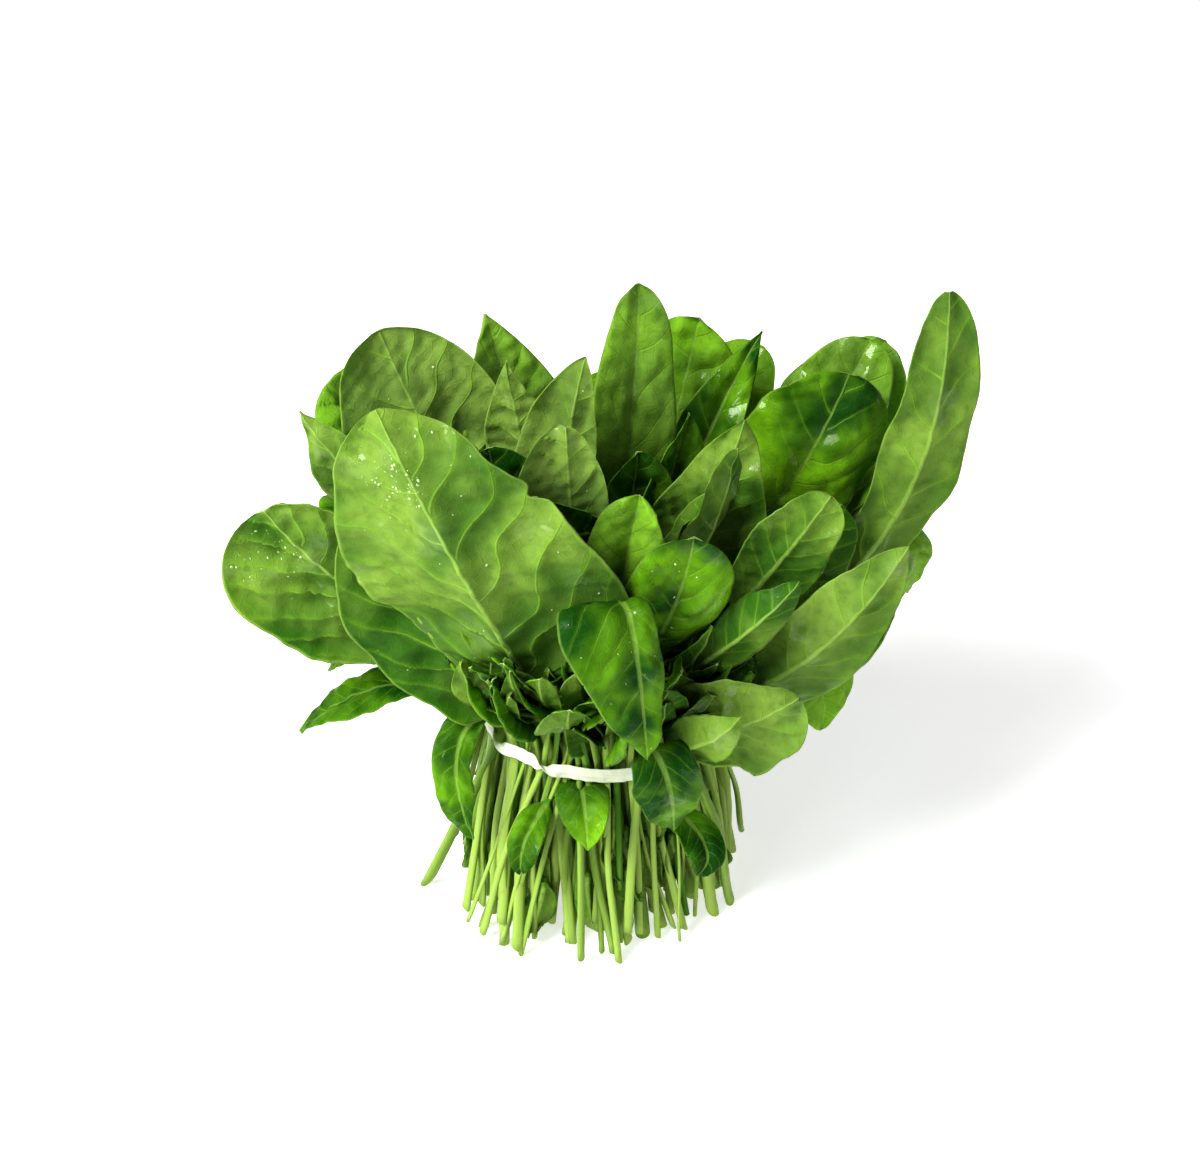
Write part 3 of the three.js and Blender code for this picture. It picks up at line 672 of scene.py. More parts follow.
    def skin(self) -> Skin:
        """The leaf's closed surface: a ring carried along the spine.

        On the stalk the ring is an ellipse with a groove on its upper side; on the blade it is a thin double
        sheet. The one passes into the other over the first tenth of the blade.

        Returns:
            The skin, with leaf_map (across and along in millimetres, side vein count), leaf_form (share of
            the blade's length, share of the half width, upper or lower side) and leaf_tone for its finish.
        """
        rng = np.random.default_rng(self.seed)
        arc = self.arc[:, None]
        angle = np.linspace(0.0, FULL_TURN, self.around, endpoint=False)[None, :]
        cosine, sine = np.cos(angle), np.sin(angle)
        even = np.where(angle <= math.pi, 1.0 - 2.0 * angle / math.pi, 2.0 * angle / math.pi - 3.0)
        q = 0.25 * cosine + 0.75 * even
        t = np.clip((arc - self.start) / self.length, 0.0, 1.0)
        blade_out, blade_up, x, phase = self._blade(t, q, sine)
        thick = self.habit.stalk * (1.0 + self.swelling * (1.0 - arc / self.start) + 0.08 * rng.normal())
        groove = 1.0 - self.groove * np.exp(-((cosine / 0.45) ** 2)) * (sine > 0)
        stalk_out = STALK_HALF_WIDTH * thick * cosine
        stalk_up = STALK_HALF_DEPTH * thick * sine * groove
        blend = smooth(t, 0.0, self.joint)
        across = stalk_out + (blade_out - stalk_out) * blend
        lift = stalk_up + (blade_up - stalk_up) * blend
        points, sideways, upwards = self._frame()
        wander = np.clip(arc / self.spine.straight, 0.0, 1.0)
        wander = self.crook * np.sin(math.pi * wander) ** 2 * rng.normal(size=2)
        across = across + wander[:, :1]
        lift = lift + wander[:, 1:]
        skin = points[:, None] + across[..., None] * sideways[:, None] + lift[..., None] * upwards[:, None]
        skin[0] = self._cut_end(skin[0], points[0], rng)
        before = np.where(t > 0.0, t * self.length, arc - self.start)
        flat = np.broadcast_arrays(np.where(t > 0.0, x, stalk_out), before, phase)
        form = np.broadcast_arrays(t, np.abs(q), np.clip(4.0 * sine, -1.0, 1.0))
        tone = (self.plan.tone, rng.uniform(), rng.uniform())
        return Skin.tube(skin, {"leaf_map": flat, "leaf_form": form}, {"leaf_tone": tone})

    @staticmethod
    def _cut_end(ring: np.ndarray, middle: np.ndarray, rng: np.random.Generator) -> np.ndarray:
        """The foot's ring slanted as the knife left it, none of it lower than the leaf's level cut.

        Args:
            ring, middle: the ring's points and the spine's.
            rng: the leaf's random numbers.

        Returns:
            The slanted ring.
        """
        slant = rng.uniform(-0.5, 0.5, 2)
        away = ring[:, :2] - middle[:2]
        height = away @ slant
        cut = ring.copy()
        cut[:, 2] = middle[2] + height - height.min()
        return cut

    def build(self) -> bpy.types.Object:
        """Makes the leaf's object, which stands for its solid.

        Returns:
            The object.
        """
        made = self.skin().piece(self.plan.name + "_grown")
        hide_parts(self.plan.name)
        return made


class Field:
    """A number that varies over a surface: one float socket of a material, with arithmetic."""

    def __init__(self, shader: "Shader", socket: bpy.types.NodeSocket) -> None:
        """Wraps a socket of the shader's node tree."""
        self.shader = shader
        self.socket = socket

    def math(self, operation: str, *others: "Field | float", first: "Field | float | None" = None) -> "Field":
        """One Math node.

        Args:
            operation: the node's operation.
            others: its values after the first.
            first: what takes the first place instead of this field, which then comes after it.

        Returns:
            The result.
        """
        values = [self, *others] if first is None else [first, self, *others]
        inputs = {i: v for i, v in enumerate(values)}
        made = self.shader.node("ShaderNodeMath", {"operation": operation}, inputs)
        return Field(self.shader, made.outputs[0])

    def __add__(self, other: "Field | float") -> "Field":
        """Sum."""
        return self.math("ADD", other)

    def __radd__(self, other: float) -> "Field":
        """Sum, reflected."""
        return self.math("ADD", other)

    def __sub__(self, other: "Field | float") -> "Field":
        """Difference."""
        return self.math("SUBTRACT", other)

    def __rsub__(self, other: float) -> "Field":
        """Difference, reflected."""
        return self.math("SUBTRACT", first=other)

    def __mul__(self, other: "Field | float") -> "Field":
        """Product."""
        return self.math("MULTIPLY", other)

    def __rmul__(self, other: float) -> "Field":
        """Product, reflected."""
        return self.math("MULTIPLY", other)

    def __truediv__(self, other: "Field | float") -> "Field":
        """Quotient."""
        return self.math("DIVIDE", other)

    def __abs__(self) -> "Field":
        """Size without sign."""
        return self.math("ABSOLUTE")

    def power(self, exponent: float) -> "Field":
        """This to a power."""
        return self.math("POWER", exponent)

    def ramp(self, low: float, high: float) -> "Field":
        """Smooth step: 3t^2 - 2t^3 of the way t from low to high.

        Args:
            low, high: where it is 0 and where it is 1; high may be the smaller of the two.

        Returns:
            The step.
        """
        settings = {"interpolation_type": "SMOOTHSTEP"}
        made = self.shader.node("ShaderNodeMapRange", settings, {0: self, 1: low, 2: high, 3: 0.0, 4: 1.0})
        return Field(self.shader, made.outputs[0])

    def clamped(self) -> "Field":
        """Held between 0 and 1."""
        made = self.shader.node("ShaderNodeClamp", {}, {0: self})
        return Field(self.shader, made.outputs[0])


class Shader:
    """A material being put together."""

    def __init__(self, name: str) -> None:
        """Starts an empty material.

        Args:
            name: the material's name.
        """
        self.material = bpy.data.materials.new(name)
        self.material.use_nodes = True
        self.tree = self.material.node_tree
        self.tree.nodes.clear()

    def node(self, kind: str, settings: dict[str, object], inputs: dict[int | str, object]) -> bpy.types.Node:
        """Adds a node.

        Args:
            kind: the node's type.
            settings: its properties, set first.
            inputs: values, fields or sockets for its inputs, by index or name.

        Returns:
            The node.
        """
        made = self.tree.nodes.new(kind)
        for label, value in settings.items():
            setattr(made, label, value)
        for key, value in inputs.items():
            socket = value.socket if isinstance(value, Field) else value
            if isinstance(socket, bpy.types.NodeSocket):
                self.tree.links.new(socket, made.inputs[key])
            else:
                made.inputs[key].default_value = socket
        return made

    def attribute(self, name: str) -> tuple[Field, Field, Field]:
        """The three numbers of one of the mesh's own attributes.

        Args:
            name: the attribute's name.

        Returns:
            The three, as fields.
        """
        read = self.node("ShaderNodeAttribute", {"attribute_name": name}, {})
        split = self.node("ShaderNodeSeparateXYZ", {}, {0: read.outputs["Vector"]})
        x, y, z = (Field(self, out) for out in split.outputs)
        return x, y, z

    def vector(self, x: Field | float, y: Field | float, z: Field | float) -> bpy.types.NodeSocket:
        """Three numbers as one vector."""
        return self.node("ShaderNodeCombineXYZ", {}, {0: x, 1: y, 2: z}).outputs[0]

    def place(self, scale: float) -> bpy.types.NodeSocket:
        """The object's own coordinates, in metres, times a scale.

        Args:
            scale: the number they are multiplied by.

        Returns:
            The vector.
        """
        here = self.node("ShaderNodeTexCoord", {}, {}).outputs["Object"]
        settings = {"operation": "SCALE"}
        return self.node("ShaderNodeVectorMath", settings, {0: here, "Scale": scale}).outputs[0]

    def noise(self, vector: bpy.types.NodeSocket, scale: float, detail: float = 2.0) -> Field:
        """Noise of about 0 to 1 over a vector."""
        inputs = {"Vector": vector, "Scale": scale, "Detail": detail}
        return Field(self, self.node("ShaderNodeTexNoise", {}, inputs).outputs["Fac"])

    def cell_edge(self, vector: bpy.types.NodeSocket, scale: float) -> Field:
        """Distance to the nearest edge between scattered cells, 0 on it.

        Args:
            vector: where it is looked up.
            scale: how many cells there are in one unit of it.

        Returns:
            The distance.
        """
        settings = {"feature": "DISTANCE_TO_EDGE"}
        made = self.node("ShaderNodeTexVoronoi", settings, {"Vector": vector, "Scale": scale})
        return Field(self, made.outputs["Distance"])

    def blend(
        self, share: Field | float, first: Colour | bpy.types.NodeSocket, second: Colour | bpy.types.NodeSocket
    ) -> bpy.types.NodeSocket:
        """A colour between two.

        Args:
            share: 0 for the first, 1 for the second.
            first, second: colours, or sockets that carry them.

        Returns:
            The mixed colour.
        """
        pair = [c if isinstance(c, bpy.types.NodeSocket) else (*c, 1.0) for c in (first, second)]
        settings = {"data_type": "RGBA", "clamp_factor": True}
        return self.node("ShaderNodeMix", settings, {0: share, 6: pair[0], 7: pair[1]}).outputs[2]

    def bump(self, height: Field, distance: float, strength: float = 1.0) -> bpy.types.NodeSocket:
        """A normal pushed by a height of 0 to 1 that stands for a distance in metres."""
        inputs = {"Strength": strength, "Distance": distance, "Height": height}
        return self.node("ShaderNodeBump", {}, inputs).outputs[0]

    def finish(self, inputs: dict[int | str, object]) -> bpy.types.Material:
        """Puts a Principled shader with these inputs at the end.

        Args:
            inputs: values, fields or sockets for the shader.

        Returns:
            The finished material.
        """
        shader = self.node("ShaderNodeBsdfPrincipled", {}, inputs)
        self.node("ShaderNodeOutputMaterial", {}, {"Surface": shader.outputs[0]})
        return self.material


@dataclass(frozen=True)
class LeafFinish:
    """A fresh wet spinach leaf: dark glossy upper side, paler matt lower side, pale veins and stalk.

    Attributes:
        upper_deep, upper_fresh: the upper side's darkest and freshest green.
        lower_deep, lower_pale: the lower side's.
        vein: the rib and the side veins.
        stalk_green, stalk_pale: the stalk near the blade and near the cut.
        young: what a leaf of the palest tone is drawn towards.
        shine: how much the dry surface mirrors.
        film: how much the wettest patches mirror.
        depth: of the veins' relief, in metres.
        glow: how much light goes through.
        clouds, specks, cells, films: how many patches of light and dark, grains, meshes of the finest
            veins and wet patches lie along one centimetre.
    """

    upper_deep: Colour = (0.010, 0.072, 0.003)
    upper_fresh: Colour = (0.200, 0.420, 0.010)
    lower_deep: Colour = (0.045, 0.138, 0.010)
    lower_pale: Colour = (0.212, 0.335, 0.052)
    vein: Colour = (0.300, 0.460, 0.100)
    stalk_green: Colour = (0.090, 0.230, 0.018)
    stalk_pale: Colour = (0.330, 0.460, 0.105)
    young: Colour = (0.285, 0.390, 0.120)
    shine: float = 0.12
    film: float = 0.45
    depth: float = 0.00045
    glow: float = 0.22
    clouds: float = 0.34
    specks: float = 3.2
    cells: float = 3.1
    films: float = 0.55

    def material(self) -> bpy.types.Material:
        """Builds the material, which reads leaf_map, leaf_form and leaf_tone.

        Returns:
            The material.
        """
        leaf = Shader("spinach_leaf")
        x, s, phase = leaf.attribute("leaf_map")
        t, q, side = leaf.attribute("leaf_form")
        tone, seed, _ = leaf.attribute("leaf_tone")
        flat = leaf.vector(x * 0.1, s * 0.1, seed * 40.0)
        upper = side.ramp(-0.4, 0.4)
        blade = t.ramp(0.0, 0.09)
        cloud = leaf.noise(flat, self.clouds, 3.0)
        speck = leaf.noise(flat, self.specks, 4.0)
        side_vein = self._side_veins(phase, q)
        rib = abs(x).math("DIVIDE", 1.9 - 1.5 * t.clamped()).ramp(1.0, 0.35)
        net = leaf.cell_edge(leaf.vector(x * 0.1 + speck * 0.12, s * 0.1, seed * 40.0), self.cells)
        net = net.ramp(0.09, 0.0) * blade
        fresh = (cloud.ramp(0.33, 0.67) * 0.95 + tone * 0.45 + upper * 0.20 - 0.10).clamped()
        top = leaf.blend(fresh, self.upper_deep, self.upper_fresh)
        low = leaf.blend(fresh, self.lower_deep, self.lower_pale)
        green = leaf.blend(upper, low, top)
        green = leaf.blend((tone - 0.35).clamped() * 0.55, green, self.young)
        green = leaf.blend(speck.ramp(0.45, 0.75) * 0.22, green, self.upper_deep)
        # Painted shade: the blade darkens towards its base, deep in the bunch, to its side's darkest green.
        green = leaf.blend(t.ramp(0.60, 0.0) * 0.60, green, leaf.blend(upper, self.lower_deep, self.upper_deep))
        near_vein = phase.math("PINGPONG", 0.5).ramp(0.16, 0.0) * 0.22
        green = leaf.blend(near_vein * (1.0 - upper * 0.3), green, self.upper_fresh)
        veins = (side_vein * (0.42 - q * 0.25)).math("MAXIMUM", rib * 0.75).math("MAXIMUM", net * 0.05)
        veins = veins * (1.0 - upper * 0.35)
        green = leaf.blend(veins * blade, green, self.vein)
        # A pale rim at the margin: partly the margin's own paler colour, partly a painted edge highlight.
        green = leaf.blend(q.ramp(0.955, 1.0) * 0.5 * blade, green, self.vein)
        along = leaf.vector(x * 1.4, s * 0.03, seed * 40.0)
        fibre = leaf.noise(along, 1.6, 3.0)
        down = s.ramp(-150.0, -20.0)
        ripe = (down + fibre * 0.7 - 0.75 + seed * 0.8).clamped()
        stalk = leaf.blend(ripe, self.stalk_pale, self.stalk_green)
        stalk = leaf.blend(fibre.ramp(0.62, 0.80) * 0.30, stalk, self.upper_fresh)
        colour = leaf.blend(blade, stalk, green)
        wet = leaf.noise(flat, self.films, 3.0).ramp(0.55, 0.66)
        rough = 0.46 - upper * 0.12 - wet * 0.20 + speck * 0.10
        height = (side_vein + rib * 0.6) * (0.5 - upper) * blade + speck * 0.35
        height = height + net * (0.2 - upper * 0.4) + fibre * 0.5 * (1.0 - blade)
        return leaf.finish({
            "Base Color": colour,
            "Roughness": rough,
            "IOR": 1.42,
            "Specular IOR Level": self.shine,
            "Coat Weight": wet * self.film,
            "Coat Roughness": 0.08,
            "Subsurface Weight": self.glow,
            "Subsurface Radius": (0.5, 1.0, 0.12),
            "Subsurface Scale": 0.0016,
            "Normal": leaf.bump(height, self.depth, 0.8),
        })

    @staticmethod
    def _side_veins(phase: Field, q: Field) -> Field:
        """1 on the side veins, which are lines of whole phase that thin towards the margin.

        Args:
            phase: the side veins' count.
            q: share of the way out to the margin.

        Returns:
            1 on a vein and 0 off it.
        """
        away = phase.math("PINGPONG", 0.5)
        width = 0.052 - q * 0.034
        return away.math("DIVIDE", width).ramp(1.0, 0.25)


@dataclass(frozen=True)
class CutFinish:
    """The cut end of a stalk: pale, wet and stringy.

    Attributes:
        flesh, string: its soft part and its fibres.
    """

    flesh: Colour = (0.520, 0.640, 0.260)
    string: Colour = (0.300, 0.430, 0.110)

    def material(self) -> bpy.types.Material:
        """Builds the material.

        Returns:
            The material.
        """
        cut = Shader("cut_stalk")
        dots = cut.noise(cut.place(1400.0), 1.0, 2.0)
        colour = cut.blend(dots.ramp(0.45, 0.62), self.flesh, self.string)
        return cut.finish({
            "Base Color": colour,
            "Roughness": 0.32 + dots * 0.2,
            "Normal": cut.bump(dots, 0.0002, 0.7),
        })


@dataclass(frozen=True)
class PaperFinish:
    """White paper pressed round a wire: faint long fibres and a grain.

    Attributes:
        white, shade: the paper, and the painted shade in its creases and at its edges.
    """

    white: Colour = (0.700, 0.740, 0.590)
    shade: Colour = (0.430, 0.480, 0.310)

    def material(self) -> bpy.types.Material:
        """Builds the material, which reads strip_map (along and across in millimetres, edge share).

        Returns:
            The material.
        """
        paper = Shader("tie_paper")
        along, across, edge = paper.attribute("strip_map")
        grain = paper.noise(paper.vector(along * 0.12, across * 0.9, 3.0), 2.6, 4.0)
        press = paper.noise(paper.vector(along * 1.1, across * 0.25, 9.0), 1.3, 2.0)
        # Painted shade: the paper darkens along its creases and towards the band's edges.
        crease_edge_shade = (grain.ramp(0.52, 0.75) * 0.35 + edge.ramp(0.86, 1.0) * 0.35).clamped()
        colour = paper.blend(crease_edge_shade, self.white, self.shade)
        return paper.finish({
            "Base Color": colour,
            "Roughness": 0.55 + grain * 0.2,
            "Subsurface Weight": 0.15,
            "Subsurface Radius": (1.0, 1.0, 0.7),
            "Subsurface Scale": 0.0008,
            "Normal": paper.bump(grain * 0.6 + press * 0.8, 0.00025, 0.8),
        })


@dataclass(frozen=True)
class WaterFinish:
    """Water drops, which glint white, with some of the green under them; the white glint is painted into their
    colour.

    Attributes:
        green, painted_glint: the green of the leaf seen through a drop, and the painted white glint where it would
            gather the light.
    """

    green: Colour = (0.200, 0.350, 0.070)
    painted_glint: Colour = (0.600, 0.740, 0.420)

    def material(self) -> bpy.types.Material:
        """Builds the material, with a faint unevenness so that each drop's painted glint and its gloss differ.

        Returns:
            The material.
        """
        water = Shader("water")
        swell = water.noise(water.place(900.0), 1.0, 1.0)
        return water.finish({
            # The base colour runs from the leaf's green to a painted white glint.
            "Base Color": water.blend(swell.ramp(0.35, 0.65), self.green, self.painted_glint),
            "Roughness": 0.03 + swell * 0.05,
            "IOR": 1.45,
            "Coat Weight": 1.0,
            "Coat Roughness": 0.02,
        })


@dataclass(frozen=True)
class TableFinish:
    """A plain white table top.

    Attributes:
        white, shade: the two whites it varies between.
        glow: light from below, as on a light table.
    """

    white: Colour = (0.72, 0.72, 0.72)
    shade: Colour = (0.69, 0.69, 0.69)
    glow: float = 0.66

    def material(self) -> bpy.types.Material:
        """Builds the material.

        Returns:
            The material.
        """
        top = Shader("table_white")
        patch = top.noise(top.place(3.0), 1.0, 2.0)
        return top.finish({
            "Base Color": top.blend(patch, self.white, self.shade),
            "Roughness": 0.9,
            "Emission Color": (1.0, 1.0, 1.0, 1.0),
            "Emission Strength": self.glow,
        })


@dataclass
class Bunch:
    """All the leaves that the solids stand for, each in its own piece.

    Attributes:
        plans: the leaves.
    """

    plans: tuple[LeafPlan, ...] = LEAF_PLANS

    def grown(self) -> list[Leaf]:
        """Lays out the leaves, without making their meshes.

        Returns:
            The leaves.
        """
        places = stalk_places(self.plans)
        return [
            Leaf(
                plan,
                places[i],
                CUT_STEP * ((i * 3) % CUT_LEVELS),
                seed=1000 + 17 * i,
                habit=HABITS.get(plan.name, Habit()),
            )
            for i, plan in enumerate(self.plans)
        ]

    def build(self, leaf: bpy.types.Material, cut: bpy.types.Material) -> list[Leaf]:
        """Makes and dresses every leaf.

        Args:
            leaf, cut: the finishes of the leaf and of its cut end.

        Returns:
            The leaves.
        """
        leaves = self.grown()
        for one in leaves:
            dress(one.build(), leaf, cut)
        return leaves


@dataclass
class StalkBundle:
    """The loose stalks that fill the bundle between those that carry the modelled leaves.

    Attributes:
        count: how many stalks.
        reach: how far from the middle they stand at the tie.
        apart: how near each other two of them may stand.
        thickness: their thinnest and thickest radius.
        top: their lowest and highest upper end.
        splay, splay_at: how much further out the feet stand on one side, and the azimuth of that side.
        twist: how far the feet go round the bundle, as the spread of a normal draw.
        bow: how far a stalk bows between its foot and the tie, likewise.
        stray: how much a foot's own spread differs from the common one.
        lean: how far out a stalk goes above the tie, over the tie's own height.
        taper, lumps: how much thinner it is at its top, and how uneven along its length, as shares.
        sink: how much lower the outermost ones end.
        groove: the depth of its groove, as a share.
        cuts: the heights the knife left.
        throws: how many places are tried.
        inner, rim: the share thrown all over the disc, and where the rim begins for the others.
        around: points round a stalk.
        rings: rings along a stalk.
        seed: for their places and sizes.
    """

    count: int = 250
    reach: float = 46.0
    apart: float = 3.1
    thickness: tuple[float, float] = (1.2, 2.9)
    top: tuple[float, float] = (118.0, 160.0)
    splay: float = 0.55
    splay_at: float = math.radians(225.0)
    twist: float = 0.32
    bow: float = 2.0
    stray: float = 0.10
    lean: float = 16.0
    taper: float = 0.25
    lumps: float = 0.03
    sink: float = 18.0
    groove: float = 0.30
    cuts: tuple[float, ...] = (0.0, 0.0, 1.5, 3.0, 6.0, 12.0)
    throws: int = 6000
    inner: float = 0.35
    rim: float = 0.52
    around: int = 12
    rings: int = 26
    seed: int = 77

    def build(self, taken: np.ndarray, leaf: bpy.types.Material, cut: bpy.types.Material) -> None:
        """Makes the stalks in one piece.

        Args:
            taken: where the leaves' own stalks pass the tie.
            leaf, cut: the finishes.
        """
        rng = np.random.default_rng(self.seed)
        places = self._places(taken, rng)
        skins = [self._stalk(place, rng) for place in places]
        made = Skin.joined(skins).piece("loose_stalks")
        dress(made, leaf, cut)

    def _places(self, taken: np.ndarray, rng: np.random.Generator) -> np.ndarray:
        """Points thrown at the tie's disc, most of them near its rim, kept if they are far enough apart.

        Args:
            taken: points that are there already.
            rng: the bundle's random numbers.

        Returns:
            One x, y row a stalk.
        """
        kept = list(taken)
        found = []
        for _ in range(self.throws):
            inner = rng.uniform() < self.inner
            radius = self.reach * math.sqrt(rng.uniform(0.0 if inner else self.rim, 1.0))
            angle = rng.uniform(0.0, FULL_TURN)
            point = radius * np.array([math.cos(angle), math.sin(angle)])
            if np.linalg.norm(np.array(kept) - point, axis=1).min() >= self.apart:
                kept.append(point)
                found.append(point)
            if len(found) == self.count:
                break
        return np.array(found)

    def _stalk(self, place: np.ndarray, rng: np.random.Generator) -> Skin:
        """One stalk: a grooved oval tube that leans, bows and tapers upwards.

        Args:
            place: where it passes the tie.
            rng: the bundle's random numbers.

        Returns:
            Its skin, with the same values as a leaf's.
        """
        radius = np.linalg.norm(place)
        outwards = place / max(radius, 1.0)
        beside = np.array([-outwards[1], outwards[0]])
        facing = max(0.0, outwards[0] * math.cos(self.splay_at) + outwards[1] * math.sin(self.splay_at))
        outer = (radius / self.reach) ** 3
        spread = FOOT_SPREAD - 0.06 + self.splay * facing**2 * outer * rng.uniform(0.0, 1.0) ** 0.8
        spread += self.stray * rng.uniform(-1.0, 1.0)
        twist = rng.normal(0.0, self.twist)
        foot_xy = place * spread + beside * radius * twist
        cut = rng.choice(self.cuts) + rng.uniform(0.0, 1.5)
        top = rng.uniform(*self.top) - self.sink * (radius / self.reach) ** 2
        z = np.linspace(cut, top, self.rings)[:, None]
        below = np.clip((TIE_HEIGHT - z) / TIE_HEIGHT, 0.0, 1.0)
        above = np.clip((z - TIE_HEIGHT) / TIE_HEIGHT, 0.0, 1.0)
        xy = place + (foot_xy - place) * below + (outwards * self.lean - beside * radius * twist) * above
        bow = rng.normal(0.0, self.bow, 2) + 0.8 * outwards
        xy = xy + bow * np.sin(math.pi * below) ** 2
        thin, thick = self.thickness
        size = thin + (thick - thin) * rng.uniform() ** 1.2
        size = size * (1.0 - self.taper * (z - cut) / (top - cut)) * (1.0 + self.lumps * rng.normal(size=z.shape))
        size = size * smooth(top - z, -1.0, 10.0) ** 0.5
        turn = rng.uniform(0.0, FULL_TURN)
        angle = np.linspace(0.0, FULL_TURN, self.around, endpoint=False)[None, :]
        shape = 1.0 - self.groove * np.exp(-((np.cos(angle) - 1.0) / 0.25) ** 2)
        flat = rng.uniform(0.55, 1.0)
        wide, deep = size * shape * np.sin(angle), size * shape * flat * np.cos(angle)
        across = wide * math.cos(turn) - deep * math.sin(turn)
        along = wide * math.sin(turn) + deep * math.cos(turn)
        height = np.broadcast_to(z, across.shape).copy()
        height[0] += np.maximum(0.0, across[0] * rng.uniform(-0.7, 0.7) + rng.uniform(0.0, 0.6))
        skin = np.stack([xy[:, :1] + across, xy[:, 1:] + along, height], axis=-1)[:, ::-1]
        before = np.broadcast_to(z - 185.0, across.shape)
        tone = (0.0, rng.uniform(), rng.uniform())
        nothing = (0.0, 0.0, 0.0)
        return Skin.tube(skin, {"leaf_map": [wide, before, 0.0 * wide]}, {"leaf_form": nothing, "leaf_tone": tone})


# Their dark tones are painted shade, as deep inside the bunch.
BEHIND_ROWS = (
    ("behind_right_1", (120, 20, 152), (80, 14, 110), 84, 54, (0, -45), 8, -12, Outline.OVAL, -0.7, 2.2),
    ("behind_right_2", (112, -2, 140), (70, -6, 104), 80, 50, (0, -42), 8, -12, Outline.OVAL, -0.8, 2.2),
    ("behind_front_1", (98, -26, 154), (62, -30, 112), 78, 48, (0, -45), 8, -12, Outline.BROAD, -0.8, 2.4),
    ("behind_front_2", (90, -10, 182), (56, -14, 132), 84, 46, (0, -40), 8, -12, Outline.OVAL, -0.9, 2.4),
    ("behind_left_1", (-104, 8, 138), (-66, 4, 102), 84, 46, (0, 45), 8, -12, Outline.OVAL, -0.6, 2.4),
)


@dataclass
class InnerLeaves:
    """Young and torn leaves deep in the bunch, which close the dark gaps between the larger ones; their dark tones
    are painted shade, as falls deep in the bunch.

    Attributes:
        behind: larger ones with places of their own.
        count: how many more stand in a spiral.
        low, high: the heights of the spiral's lowest and highest tips.
        reach: how far out the tips of its lowest row come.
        length, width: the smallest and largest size of a blade.
        cut: the height of their hidden feet.
        seed: for their shapes.
    """

    behind: tuple[LeafPlan, ...] = tuple(LeafPlan(*row) for row in BEHIND_ROWS)
    count: int = 34
    low: float = 112.0
    high: float = 205.0
    reach: float = 62.0
    length: tuple[float, float] = (46.0, 64.0)
    width: tuple[float, float] = (34.0, 50.0)
    cut: float = 40.0
    seed: int = 401

    def build(self, leaf: bpy.types.Material, cut: bpy.types.Material) -> None:
        """Makes the leaves in one piece.

        Args:
            leaf, cut: the finishes.
        """
        rng = np.random.default_rng(self.seed)
        skins = []
        for i in range(self.count):
            share = (i + 0.5) / self.count
            angle = i * GOLDEN_ANGLE + 0.4
            tip_height = self.low + (self.high - self.low) * share
            reach = self.reach * (1.0 - 0.25 * share) * rng.uniform(0.75, 1.05)
            out = np.array([math.cos(angle), math.sin(angle)])
            plan = LeafPlan(
                f"inner_{i}",
                (*(out * reach), tip_height),
                (*(out * reach * 0.55), tip_height - 12.0),
                rng.uniform(*self.length),
                rng.uniform(*self.width),
                (math.degrees(angle) - 90.0, rng.uniform(-14.0, 14.0)),
                rng.uniform(4.0, 24.0),
                rng.uniform(-30.0, 45.0),
                (Outline.OVAL, Outline.BROAD, Outline.SPADE)[i % 3],
                # A dark tone for all of them: painted shade, as deep inside the bunch.
                -0.9,
                rng.uniform(2.0, 4.0),
            )
            place = out * BUNDLE_RADIUS * rng.uniform(0.25, 0.85)
            skins.append(Leaf(plan, place, self.cut, seed=5000 + 13 * i, grain=1.9, stalk_grain=9.0).skin())
        for i, plan in enumerate(self.behind):
            place = 0.5 * np.array(plan.elbow[:2])
            skins.append(Leaf(plan, place, self.cut, seed=6000 + 13 * i, grain=1.7, stalk_grain=9.0).skin())
        made = Skin.joined(skins).piece("inner_leaves")
        dress(made, leaf, cut)


